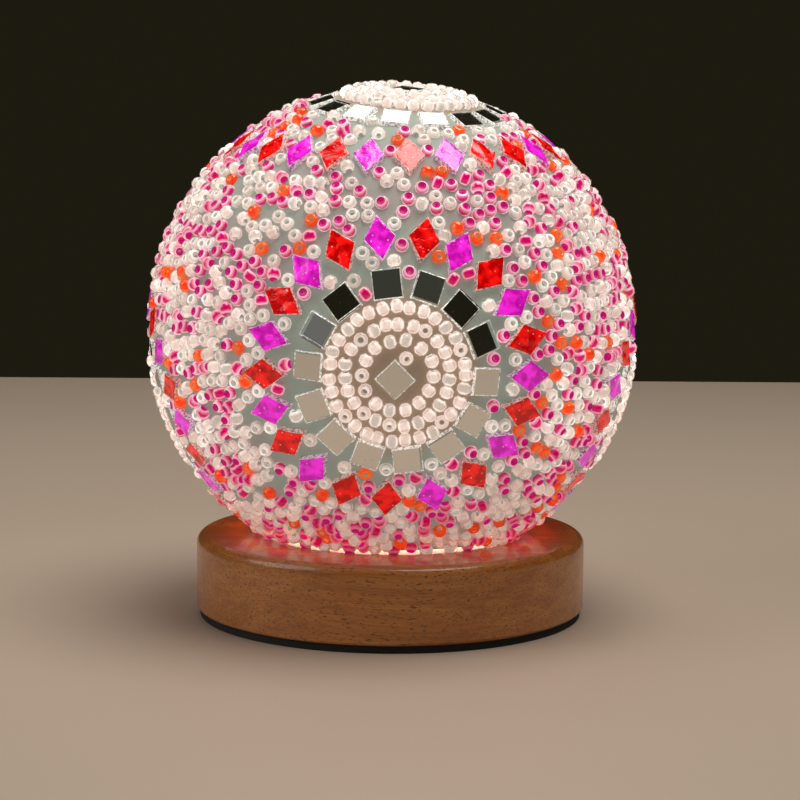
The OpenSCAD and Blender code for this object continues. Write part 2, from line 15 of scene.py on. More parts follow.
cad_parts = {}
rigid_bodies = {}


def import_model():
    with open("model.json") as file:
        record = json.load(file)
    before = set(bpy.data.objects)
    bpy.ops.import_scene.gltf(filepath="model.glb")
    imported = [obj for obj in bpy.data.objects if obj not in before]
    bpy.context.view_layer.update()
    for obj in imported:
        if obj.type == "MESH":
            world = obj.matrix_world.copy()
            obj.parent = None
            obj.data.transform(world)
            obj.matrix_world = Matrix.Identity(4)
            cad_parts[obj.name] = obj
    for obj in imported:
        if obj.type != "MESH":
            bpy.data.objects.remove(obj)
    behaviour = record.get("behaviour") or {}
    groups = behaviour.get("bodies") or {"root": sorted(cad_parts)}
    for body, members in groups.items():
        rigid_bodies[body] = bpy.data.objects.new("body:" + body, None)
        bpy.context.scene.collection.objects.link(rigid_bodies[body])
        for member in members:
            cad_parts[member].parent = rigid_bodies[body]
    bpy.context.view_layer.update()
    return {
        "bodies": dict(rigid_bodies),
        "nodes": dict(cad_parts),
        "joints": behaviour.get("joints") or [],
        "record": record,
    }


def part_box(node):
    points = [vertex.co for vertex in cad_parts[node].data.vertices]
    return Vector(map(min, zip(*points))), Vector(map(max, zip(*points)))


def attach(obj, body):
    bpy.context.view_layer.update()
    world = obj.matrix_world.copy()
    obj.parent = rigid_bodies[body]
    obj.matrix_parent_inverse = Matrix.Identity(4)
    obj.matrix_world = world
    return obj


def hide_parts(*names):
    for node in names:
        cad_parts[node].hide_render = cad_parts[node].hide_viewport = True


MM = 0.001
SEED = 41
GLASS_IOR = 1.5
LOG = logging.getLogger("lamp")

Colour = tuple[float, float, float]
Number = Union[int, float]


# ---- Shader maths ----


class Sock:
    """A shader socket that takes part in sums, so that a finish is written as an expression."""

    def __init__(self, graph: "Graph", socket: bpy.types.NodeSocket) -> None:
        """Keeps the socket and the graph that it belongs to."""
        self.graph = graph
        self.socket = socket

    def _maths(self, operation: str, *values: Union["Sock", Number]) -> "Sock":
        """Adds one Math node.

        Args:
            operation: the Math node's operation.
            values: the values of its sockets, in order.

        Returns:
            The node's result.
        """
        return self.graph.out("ShaderNodeMath", {"operation": operation}, dict(enumerate(values)))

    def __add__(self, other: Union["Sock", Number]) -> "Sock":
        """Sum."""
        return self._maths("ADD", self, other)

    __radd__ = __add__

    def __sub__(self, other: Union["Sock", Number]) -> "Sock":
        """Difference."""
        return self._maths("SUBTRACT", self, other)

    def __rsub__(self, other: Number) -> "Sock":
        """Difference from a number."""
        return self._maths("SUBTRACT", other, self)

    def __mul__(self, other: Union["Sock", Number]) -> "Sock":
        """Product."""
        return self._maths("MULTIPLY", self, other)

    __rmul__ = __mul__

    def smooth(self, low: float, high: float) -> "Sock":
        """Rises smoothly from 0 to 1.

        Args:
            low: the value where it is 0.
            high: the value where it is 1.

        Returns:
            The smooth step.
        """
        return self.graph.out(
            "ShaderNodeMapRange",
            {"interpolation_type": "SMOOTHSTEP"},
            {"Value": self, "From Min": low, "From Max": high},
        )


class Graph:
    """The node tree of one material, with its Principled shader."""

    def __init__(self, name: str) -> None:
        """Makes an empty material.

        Args:
            name: the material's name.
        """
        self.material = bpy.data.materials.new(name)
        self.material.use_nodes = True
        self.tree = self.material.node_tree
        self.tree.nodes.clear()
        self.shader = self.node("ShaderNodeBsdfPrincipled", {}, {})
        self.node("ShaderNodeOutputMaterial", {}, {"Surface": self.shader.outputs[0]})

    def node(self, kind: str, settings: dict, values: dict) -> bpy.types.Node:
        """Adds a node of any type.

        Args:
            kind: the node's type.
            settings: its own settings, which are set first; a ramp's stops are given as "stops".
            values: the values or links of its sockets, by name or number.

        Returns:
            The node.
        """
        made = self.tree.nodes.new(kind)
        for key, value in settings.items():
            if key == "stops":
                self._stops(made.color_ramp, value)
            else:
                setattr(made, key, value)
        for key, value in values.items():
            self.give(made.inputs[key], value)
        return made

    @staticmethod
    def _stops(ramp: bpy.types.ColorRamp, stops: Sequence[tuple[float, Colour]]) -> None:
        """Sets a ramp's stops.

        Args:
            ramp: the ramp.
            stops: the place and the colour of each stop.
        """
        while len(ramp.elements) < len(stops):
            ramp.elements.new(0.5)
        for element, (place, colour) in zip(ramp.elements, stops):
            element.position = place
            element.color = (*colour, 1)

    def give(self, socket: bpy.types.NodeSocket, value: object) -> None:
        """Links or sets one input socket.

        Args:
            socket: the socket.
            value: what it gets: a result, an output socket, a colour or a plain value.
        """
        if isinstance(value, Sock):
            self.tree.links.new(value.socket, socket)
        elif isinstance(value, bpy.types.NodeSocket):
            self.tree.links.new(value, socket)
        elif isinstance(value, tuple) and len(value) == 3 and socket.type == "RGBA":
            socket.default_value = (*value, 1)
        else:
            socket.default_value = value

    def out(self, kind: str, settings: dict, values: dict, output: Union[int, str] = 0) -> Sock:
        """Adds a node and returns one of its outputs."""
        return Sock(self, self.node(kind, settings, values).outputs[output])

    def place(self) -> Sock:
        """The point on the surface, in the piece's own coordinates."""
        return self.out("ShaderNodeTexCoord", {}, {}, "Object")

    def attribute(self, name: str, output: str = "Fac") -> Sock:
        """One of the mesh's own attributes."""
        return self.out("ShaderNodeAttribute", {"attribute_name": name}, {}, output)

    def stretched(self, place: Sock, scale: Sequence[float]) -> Sock:
        """The point with each axis scaled."""
        return self.out("ShaderNodeMapping", {}, {"Vector": place, "Scale": tuple(scale)})

    def noise(self, place: Sock, scale: float, detail: float = 2, rough: float = 0.5) -> Sock:
        """Cloudy noise from 0 to 1."""
        values = {"Vector": place, "Scale": scale, "Detail": detail, "Roughness": rough}
        return self.out("ShaderNodeTexNoise", {}, values)

    def cells(self, place: Sock, scale: float, output: str = "Distance") -> Sock:
        """Distance to scattered points, or another output of the same cells."""
        return self.out("ShaderNodeTexVoronoi", {}, {"Vector": place, "Scale": scale}, output)

    def mix(self, factor: Union[Sock, float], low: object, high: object) -> Sock:
        """Blends two colours."""
        made = self.node("ShaderNodeMix", {"data_type": "RGBA"}, {0: factor, 6: low, 7: high})
        return Sock(self, made.outputs[2])

    def bump(self, height: Sock, depth: float, strength: float = 1.0) -> Sock:
        """A Bump node over a height from 0 to 1, as deep as the depth given in metres."""
        values = {"Height": height, "Distance": depth, "Strength": strength}
        return self.out("ShaderNodeBump", {}, values)

    def principled(self, **values: object) -> bpy.types.Material:
        """Sets the Principled shader's sockets, by name with _ for a space, and returns the material."""
        for key, value in values.items():
            self.give(self.shader.inputs[key.replace("_", " ")], value)
        return self.material


# ---- Finishes ----


def toned(colour: Colour, by: float, lift: float = 0.0) -> Colour:
    """A colour made darker or lighter."""
    return tuple(c * by + lift for c in colour)


@dataclass(frozen=True)
class MouldedPlastic:
    """Moulded plastic or lacquer with a fine grain.

    Attributes:
        name: the material's name.
        colour: its colour.
        roughness: how rough it is on average.
        grain: size of the grain, in metres.
        depth: depth of the grain, in metres.
        cloud: size of its broad stains, in grains.
        uneven: how much its roughness changes along the grain.
    """

    name: str
    colour: Colour
    roughness: float = 0.45
    grain: float = 0.4 * MM
    depth: float = 0.02 * MM
    cloud: float = 25
    uneven: float = 0.2

    def make(self) -> bpy.types.Material:
        """Builds the material."""
        g = Graph(self.name)
        place = g.place()
        fine = g.noise(place, 1 / self.grain, 3)
        broad = g.noise(place, 1 / (self.cloud * self.grain), 2)
        return g.principled(
            Base_Color=g.mix(broad, self.colour, toned(self.colour, 1.25, 0.01)),
            Roughness=self.roughness + (fine - 0.5) * self.uneven,
            Normal=g.bump(fine, self.depth),
        )


@dataclass(frozen=True)
class PlatedMetal:
    """Plated or foil metal with fine scratches along one axis.

    Attributes:
        name: the material's name.
        colour: its colour.
        roughness: how rough it is on average.
        brushed: how much closer the scratches are along each axis.
        scratches: scratches in a metre.
        depth: their depth, in metres.
        stains: stains in a metre.
        uneven: how much its roughness changes with the scratches.
    """

    name: str
    colour: Colour
    roughness: float = 0.3
    brushed: tuple[float, float, float] = (1, 1, 1)
    scratches: float = 2500
    depth: float = 0.01 * MM
    stains: float = 160
    uneven: float = 0.25

    def make(self) -> bpy.types.Material:
        """Builds the material."""
        g = Graph(self.name)
        place = g.stretched(g.place(), self.brushed)
        scratch = g.noise(place, self.scratches, 3)
        stain = g.noise(g.place(), self.stains, 3)
        return g.principled(
            Base_Color=g.mix(stain, toned(self.colour, 0.78), self.colour),
            Metallic=1.0,
            Roughness=self.roughness + (scratch - 0.5) * self.uneven,
            Normal=g.bump(scratch, self.depth),
        )


@dataclass(frozen=True)
class SoftFoam:
    """Matt closed-cell foam or rubber.

    Attributes:
        name: the material's name.
        colour: its colour.
        cell: size of a cell, in metres.
        depth: depth of a cell, in metres.
        roughness: how rough it is in the middle of a cell.
    """

    name: str
    colour: Colour
    cell: float = 0.6 * MM
    depth: float = 0.08 * MM
    roughness: float = 0.85

    def make(self) -> bpy.types.Material:
        """Builds the material."""
        g = Graph(self.name)
        cells = g.cells(g.place(), 1 / self.cell)
        return g.principled(
            Base_Color=g.mix(cells, self.colour, toned(self.colour, 1.6, 0.01)),
            Roughness=self.roughness + cells * 0.1,
            Normal=g.bump(cells, self.depth),
        )


@dataclass(frozen=True)
class CircuitBoard:
    """Solder mask with copper tracks that show through it.

    Attributes:
        name: the material's name.
        mask: colour of the mask.
        track: colour of the mask over a track.
        lanes: tracks in a metre.
        relief: how far the tracks stand out, in metres.
    """

    name: str
    mask: Colour
    track: Colour
    lanes: float = 260.0
    relief: float = 0.03 * MM

    def make(self) -> bpy.types.Material:
        """Builds the material."""
        g = Graph(self.name)
        place = g.place()
        lanes = g.out("ShaderNodeTexBrick", {"offset": 0.5}, {"Vector": place, "Scale": self.lanes}, "Fac")
        haze = g.noise(place, 500, 2)
        return g.principled(
            Base_Color=g.mix(lanes * 0.8, self.mask, self.track),
            Roughness=0.35 + haze * 0.2,
            Normal=g.bump(lanes, self.relief),
        )


@dataclass(frozen=True)
class LitPanel:
    """A frosted or phosphor surface that gives light.

    Attributes:
        name: the material's name.
        colour: its colour, and its light's.
        strength: how bright it is.
        frost: grains of the frosting in a metre.
        depth: their depth, in metres.
    """

    name: str
    colour: Colour
    strength: float
    frost: float = 1800
    depth: float = 0.02 * MM

    def make(self) -> bpy.types.Material:
        """Builds the material."""
        g = Graph(self.name)
        frost = g.noise(g.place(), self.frost, 2)
        warm = toned(self.colour, 0.85)
        return g.principled(
            Base_Color=g.mix(frost, warm, self.colour),
            Roughness=0.5 + frost * 0.3,
            Emission_Color=g.mix(frost, warm, self.colour),
            Emission_Strength=self.strength,
            Normal=g.bump(frost, self.depth),
        )


@dataclass(frozen=True)
class VarnishedWood:
    """Turned hardwood under a glossy varnish: long pores and flecks along the plank, which lies along X.

    Attributes:
        name: the material's name.
        dark: colour of the late wood.
        mid: colour between the two.
        pale: colour of the early wood.
        pore: colour inside a pore.
        pores: pores in a metre along the plank.
        depth: their depth, in metres.
        roughness: how rough the varnish is at its smoothest.
        varnish: how much clear varnish lies over the wood.
    """

    name: str = "varnished_wood"
    dark: Colour = (0.29, 0.086, 0.014)
    mid: Colour = (0.47, 0.163, 0.03)
    pale: Colour = (0.62, 0.255, 0.055)
    pore: Colour = (0.08, 0.026, 0.007)
    pores: float = 560
    depth: float = 0.08 * MM
    roughness: float = 0.3
    varnish: float = 0.6

    def make(self) -> bpy.types.Material:
        """Builds the material."""
        g = Graph(self.name)
        place = g.place()
        drift = g.noise(g.stretched(place, (5, 12, 18)), 1.6, 2)
        bent = g.out(
            "ShaderNodeVectorMath",
            {"operation": "MULTIPLY_ADD"},
            {0: drift, 1: (0.0, 0.012, 0.014), 2: place},
        )
        rings = g.noise(g.stretched(bent, (1.2, 17, 42)), 9, 3, 0.6)
        streak = g.noise(g.stretched(bent, (3, 60, 130)), 14, 3, 0.65)
        tone = rings * 0.62 + streak * 0.38
        wood = g.out(
            "ShaderNodeValToRGB",
            {"stops": ((0.3, self.dark), (0.47, self.mid), (0.68, self.pale))},
            {"Fac": tone},
        )
        dashes = g.noise(g.stretched(bent, (1, 4, 4)), self.pores, 2, 0.5)
        pores = dashes.smooth(0.57, 0.66) * rings.smooth(0.22, 0.6)
        haze = g.noise(place, 60, 3)
        return g.principled(
            Base_Color=g.mix(pores * 0.85, wood, self.pore),
            Roughness=self.roughness + streak * 0.18,
            Coat_Weight=self.varnish,
            Coat_Roughness=0.1,
            Coat_IOR=GLASS_IOR,
            Normal=g.bump(pores * -0.6 + streak * 0.4 + haze * 0.25, self.depth),
        )


@dataclass(frozen=True)
class BlownGlass:
    """The globe itself, lit from below, with a faint ripple.

    Attributes:
        name: the material's name.
        thick: its colour where the ripple is thick.
        thin: its colour where it is thin.
        glow: colour of the light that it picks up.
        strength: how bright that light is.
        ripples: ripples in a metre.
        depth: their depth, in metres.
    """

    name: str = "blown_glass"
    thick: Colour = (0.93, 0.96, 0.95)
    thin: Colour = (0.98, 0.98, 0.98)
    glow: Colour = (1.0, 0.42, 0.3)
    strength: float = 0.9
    ripples: float = 60
    depth: float = 0.1 * MM

    def make(self) -> bpy.types.Material:
        """Builds the material."""
        g = Graph(self.name)
        ripple = g.noise(g.place(), self.ripples, 2)
        return g.principled(
            Base_Color=g.mix(ripple, self.thick, self.thin),
            Roughness=0.03 + ripple * 0.04,
            Transmission_Weight=1.0,
            IOR=GLASS_IOR,
            Emission_Color=self.glow,
            Emission_Strength=self.strength,
            Normal=g.bump(ripple, self.depth),
        )


@dataclass(frozen=True)
class Grout:
    """Grey grout with sand grains, a cool tint in places and a warm one in others, faintly lit from behind.

    Attributes:
        name: the material's name.
        cool: its tint in patches, and round the stars.
        warm: its tint inside the medallions.
        grey: its tint everywhere else.
        grain: colour of the dark grains of sand.
        grains: grains of sand in a metre.
        depth: how far they stand out, in metres.
        strength: how bright the light from behind is.
    """

    name: str = "grout"
    cool: Colour = (0.33, 0.375, 0.32)
    warm: Colour = (0.33, 0.24, 0.165)
    grey: Colour = (0.33, 0.31, 0.28)
    grain: Colour = (0.12, 0.12, 0.11)
    grains: float = 2600
    depth: float = 0.12 * MM
    strength: float = 0.4

    def make(self) -> bpy.types.Material:
        """Builds the material."""
        g = Graph(self.name)
        place = g.place()
        sand = g.noise(place, self.grains, 3, 0.7)
        cloud = g.noise(place, 42, 2)
        tint = g.mix(cloud.smooth(0.45, 0.62), self.grey, self.cool)
        tint = g.mix(g.attribute("star"), tint, self.cool)
        tint = g.mix(g.attribute("disc"), tint, self.warm)
        tint = g.mix(sand * 0.3, tint, self.grain)
        return g.principled(
            Base_Color=tint,
            Roughness=0.85,
            Emission_Color=tint,
            Emission_Strength=self.strength,
            Normal=g.bump(sand, self.depth),
        )


class BeadKind(Enum):
    """The kinds of bead that the globe is covered with."""

    CLEAR = "clear"
    HOLLOW = "hollow"
    LINED = "pink_lined"
    ORANGE = "orange"


@dataclass(frozen=True)
class BeadFinish:
    """The two surfaces of one kind of bead.

    Attributes:
        kind: which bead it is.
        glass: tint of the glass.
        band: tint of the glass round the barrel, where the lining shows through.
        barrel: light that comes out of the bead's barrel.
        cap: light that comes out of its rounded ends.
        hole: colour of its hole, or of the lining of the hole.
        hole_light: how much light the lining gives.
        through: how much of the glass can be looked through.
        strength: how bright the light is.
        dim: what is left of the light in the dimmest bead.
        lowest: what is left of it at the foot of the globe.
        outline: what is left of it at the bead's outline, a painted shade where neighbouring beads shade each
            other.
        streaked: what is left of it in a streak.
    """

    kind: BeadKind
    glass: Colour
    band: Colour
    barrel: Colour
    cap: Colour
    hole: Colour
    hole_light: float
    through: float
    strength: float
    dim: Colour = (0.6, 0.47, 0.45)
    lowest: Colour = (0.33, 0.11, 0.08)
    outline: Colour = (0.12, 0.07, 0.06)
    streaked: Colour = (0.35, 0.26, 0.24)

    def glass_body(self) -> bpy.types.Material:
        """Glass that scatters the light which comes up through the grout."""
        g = Graph(f"{self.kind.value}_bead_glass")
        haze = g.noise(g.place(), 1400, 2)
        streak = g.noise(g.place(), 850, 2, 0.6)
        tone = g.attribute("tone")
        shine = g.attribute("shine")
        low = g.attribute("low")
        weak = g.mix(tone, self.dim, (1.0, 1.0, 1.0))
        weak = g.mix(low, weak, self.lowest)
        facing = g.out("ShaderNodeLayerWeight", {}, {"Blend": 0.5}, "Facing")
        around = facing.smooth(0.2, 0.52)
        lit = g.mix(around, g.mix(shine, self.barrel, self.cap), self.cap)
        # Painted shade: the light is darkened towards each bead's outline, where the beads shade each other.
        rim = g.mix(facing.smooth(0.45, 0.85), weak, self.outline)
        rim = g.mix(streak.smooth(0.4, 0.75) * 0.35, rim, self.streaked)
        light = g.out("ShaderNodeVectorMath", {"operation": "MULTIPLY"}, {0: lit, 1: rim})
        body, hazy = g.mix(shine, self.band, self.glass), g.mix(haze, toned(self.glass, 0.9), self.glass)
        made = g.principled(
            Base_Color=g.mix(around, body, hazy),
            Roughness=0.06 + haze * 0.12,
            Transmission_Weight=self.through,
            IOR=GLASS_IOR,
            Coat_Weight=0.5,
            Coat_Roughness=0.04,
            Emission_Color=light,
            Emission_Strength=self.strength,
        )
        made.cycles.emission_sampling = "NONE"
        return made

    def hole_wall(self) -> bpy.types.Material:
        """The wall of the hole, which carries the lining of a lined bead."""
        g = Graph(f"{self.kind.value}_bead_hole")
        speck = g.noise(g.place(), 1500, 2)
        colour = g.mix(speck, toned(self.hole, 0.7), self.hole)
        made = g.principled(
            Base_Color=colour,
            Roughness=0.35 + speck * 0.2,
            Emission_Color=colour,
            Emission_Strength=self.hole_light,
        )
        made.cycles.emission_sampling = "NONE"
        return made


@dataclass(frozen=True)
class TileGlass:
    """Clear glass of a mirror tile, seen on its face.

    Attributes:
        name: the material's name.
        thick: its colour where the wave is thick.
        thin: its colour where it is thin.
        waves: waves in a metre.
        depth: their depth, in metres.
    """

    name: str = "tile_glass"
    thick: Colour = (0.95, 0.97, 0.96)
    thin: Colour = (0.98, 0.99, 0.985)
    waves: float = 120
    depth: float = 0.03 * MM

    def make(self) -> bpy.types.Material:
        """Builds the material."""
        g = Graph(self.name)
        wave = g.noise(g.place(), self.waves, 2)
        return g.principled(
            Base_Color=g.mix(wave, self.thick, self.thin),
            Roughness=0.01 + wave * 0.02,
            Transmission_Weight=1.0,
            IOR=GLASS_IOR,
            Normal=g.bump(wave, self.depth),
        )


@dataclass(frozen=True)
class Silvering:
    """The silver at the back of a mirror tile, with small specks in it.

    Attributes:
        name: the material's name.
        colour: its colour.
        speck: colour of a speck.
        specks: specks in a metre.
    """

    name: str = "silvering"
    colour: Colour = (0.97, 0.97, 0.95)
    speck: Colour = (0.6, 0.6, 0.57)
    specks: float = 700

    def make(self) -> bpy.types.Material:
        """Builds the material."""
        g = Graph(self.name)
        speck = g.cells(g.place(), self.specks).smooth(0.1, 0.05)
        return g.principled(
            Base_Color=g.mix(speck, self.colour, self.speck),
            Metallic=1.0,
            Roughness=0.05 + speck * 0.3,
        )


@dataclass(frozen=True)
class NippedEdge:
    """The broken edge of a nipped tile: bright, clear and rough, and lit by the lamp.

    Attributes:
        name: the material's name.
        tint: its colour, and its light's.
        strength: how bright that light is.
        chips: chips in a metre.
        depth: their depth, in metres.
    """

    name: str
    tint: Colour
    strength: float
    chips: float = 1300
    depth: float = 0.25 * MM

    def make(self) -> bpy.types.Material:
        """Builds the material."""
        g = Graph(self.name)
        chip = g.noise(g.place(), self.chips, 3, 0.6)
        lines = g.noise(g.stretched(g.place(), (1, 1, 2.5)), 600, 2)
        bright = g.mix(chip.smooth(0.36, 0.6), toned(self.tint, 0.25), self.tint)
        return g.principled(
            Base_Color=bright,
            Roughness=0.12 + lines * 0.2,
            Emission_Color=bright,
            Emission_Strength=self.strength,
            Coat_Weight=0.6,
            Normal=g.bump(chip, self.depth),
        )


@dataclass(frozen=True)
class WavyGlass:
    """Coloured glass with a wavy face over foil, with bubbles, and lit by the lamp.

    Attributes:
        name: the material's name.
        deep: its colour where the glass is thick.
        bright: its colour where the light comes through.
        strength: how bright that light is.
        waves: waves in a metre.
        bubbles: bubbles in a metre.
        depth: depth of the waves, in metres.
    """

    name: str
    deep: Colour
    bright: Colour
    strength: float
    waves: float = 380
    bubbles: float = 520
    depth: float = 0.55 * MM

    def make(self) -> bpy.types.Material:
        """Builds the material."""
        g = Graph(self.name)
        place = g.place()
        wave = g.noise(place, self.waves, 2, 0.45)
        ripple = g.noise(place, 900, 2, 0.5)
        bubble = g.cells(place, self.bubbles).smooth(0.17, 0.06)
        body = g.mix(wave.smooth(0.38, 0.66), self.deep, self.bright)
        body = g.mix(bubble * 0.55, body, toned(self.bright, 0.5, 0.5))
        return g.principled(
            Base_Color=body,
            Roughness=0.08 + ripple * 0.12,
            Emission_Color=body,
            Emission_Strength=self.strength,
            Coat_Weight=0.4,
            Coat_Roughness=0.03,
            Normal=g.bump(wave * 0.7 + ripple * 0.3, self.depth),
        )


# ---- Mesh helpers ----


def share(value: float) -> float:
    """Keeps a value between 0 and 1."""
    return min(1.0, max(0.0, value))


def linked(name: str, data: bpy.types.ID) -> bpy.types.Object:
    """Makes an object at the origin and puts it in the scene.

    Args:
        name: the object's name.
        data: its mesh, camera or light.

    Returns:
        The object.
    """
    made = bpy.data.objects.new(name, data)
    bpy.context.scene.collection.objects.link(made)
    return made


def finished(name: str, bm: bmesh.types.BMesh, materials: Sequence[bpy.types.Material]) -> bpy.types.Object:
    """Turns a bmesh into an object at the origin, shaded smooth.

    Args:
        name: the piece's name.
        bm: its mesh, which is freed.
        materials: its material slots.

    Returns:
        The object.
    """
    mesh = bpy.data.meshes.new(name)
    for face in bm.faces:
        face.smooth = True
    bm.to_mesh(mesh)
    bm.free()
    for material in materials:
        mesh.materials.append(material)
    LOG.info("%s: %d faces", name, len(mesh.polygons))
    return linked(name, mesh)


def paint(mesh: bpy.types.Mesh, name: str, values: Sequence[float]) -> None:
    """Stores one value for each corner of a mesh, for its finish to read."""
    mesh.attributes.new(name, "FLOAT", "POINT").data.foreach_set("value", values)


def waves(point: Vector, sizes: tuple[float, float], fine: float, shift: Vector) -> float:
    """Noise of two sizes, one on the other.

    Args:
        point: where it is read.
        sizes: size of the broad waves and of the fine ones.
        fine: height of the fine waves, as a share of the broad ones'.
        shift: how far the noise is moved.

    Returns:
        Their height, which is about 1 at most.
    """
    broad_size, fine_size = sizes
    return noise.noise(point / broad_size + shift) + fine * noise.noise(point / fine_size + shift)


def solids_of(node: bpy.types.Object) -> list[np.ndarray]:
    """The separate solids of a CAD node, found on a merged copy of its mesh.

    Args:
        node: the CAD node, which isn't changed.

    Returns:
        One array of corners for each solid, in the order of the mesh.
    """
    bm = bmesh.new()
    bm.from_mesh(node.data)
    bmesh.ops.remove_doubles(bm, verts=bm.verts, dist=0.001 * MM)
    seen: set[bmesh.types.BMVert] = set()
    found = []
    for start in bm.verts:
        if start in seen:
            continue
        seen.add(start)
        edge_of_search, island = [start], []
        while edge_of_search:
            vert = edge_of_search.pop()
            island.append(vert.co[:])
            for edge in vert.link_edges:
                other = edge.other_vert(vert)
                if other not in seen:
                    seen.add(other)
                    edge_of_search.append(other)
        found.append(np.array(island))
    bm.free()
    return found


def middles_of(node: str) -> list[Vector]:
    """The middle of each solid of a CAD node."""
    return [Vector(solid.mean(0)) for solid in solids_of(bpy.data.objects[node])]


def standing(foot: Vector, out: Vector, along: Vector) -> Matrix:
    """The matrix that stands a piece on a point of the globe.

    Args:
        foot: where its own origin goes.
        out: the direction that its own Z takes.
        along: roughly the direction that its own X takes.

    Returns:
        A matrix with no scale.
    """
    z_axis = out.normalized()
    y_axis = z_axis.cross(along).normalized()
    x_axis = y_axis.cross(z_axis)
    turned = Matrix((x_axis, y_axis, z_axis)).transposed().to_4x4()
    return Matrix.Translation(foot) @ turned


@dataclass(frozen=True)
class Globe:
    """The sphere that the beads and tiles stand on, as the frame gives it.

    Attributes:
        centre: its middle.
        bed: its radius, where the beads are bedded.
        foot: height of its lower edge.
    """

    centre: Vector
    bed: float
    foot: float

    @classmethod
    def measured(cls) -> "Globe":
        """Reads the grout bed's box."""
        low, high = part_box("grout_bed")
        bed = (high.x - low.x) / 2
        return cls(Vector((0, 0, high.z - bed)), bed, low.z)

    def out_at(self, point: Vector) -> Vector:
        """The outward direction at a point."""
        return (point - self.centre).normalized()

    def out_of(self, feet: Sequence[Vector]) -> Vector:
        """The outward direction at the middle of several points."""
        return self.out_at(sum(feet, Vector()) / len(feet))


@dataclass(frozen=True)
class TilePlace:
    """Where one tile stands.

    Attributes:
        foot: middle of its back face.
        out: the direction it faces.
        corner: the direction of its farthest corner.
        reach: distance from its middle to that corner.
        width: distance from its middle to a corner beside it.
        thickness: how thick it is.
    """

    foot: Vector
    out: Vector
    corner: Vector
    reach: float
    width: float
    thickness: float

    @classmethod
    def read(cls, corners: np.ndarray, globe: Globe) -> "TilePlace":
        """Works a tile's place out.

        Args:
            corners: the corners of its solid.
            globe: the sphere that it stands on.

        Returns:
            Its place.
        """
        middle = Vector(corners.mean(0))
        out = globe.out_at(middle)
        offsets = [Vector(c) - middle for c in corners]
        heights = [o.dot(out) for o in offsets]
        thickness = max(heights) - min(heights)
        flat = [o - out * h for o, h in zip(offsets, heights)]
        far = max(flat, key=lambda o: o.length)
        side = out.cross(far).normalized()
        width = max(abs(o.dot(side)) for o in flat)
        return cls(middle - out * thickness / 2, out, far.normalized(), far.length, width, thickness)

    def matrix(self) -> Matrix:
        """Own X towards the farthest corner, own Z outwards."""
        return standing(self.foot, self.out, self.corner)

    def spot(self, u: float, v: float, height: float) -> Vector:
        """A point in the tile's own place.

        Args:
            u: how far it is between one pair of sides, from -1 to 1.
            v: how far it is between the other pair.
            height: its height over the back.

        Returns:
            The point.
        """
        return Vector(((u + v) / 2 * self.reach, (u - v) / 2 * self.width, height))


# ---- Beads ----


@dataclass(frozen=True)
class Stamp:
    """One bead as plain arrays, ready to be repeated.

    Attributes:
        corners: its corners.
        faces: the corners of each face.
        materials: the material number of each face.
        shine: how brightly each corner is lit.
    """

    corners: np.ndarray
    faces: np.ndarray
    materials: np.ndarray
    shine: np.ndarray


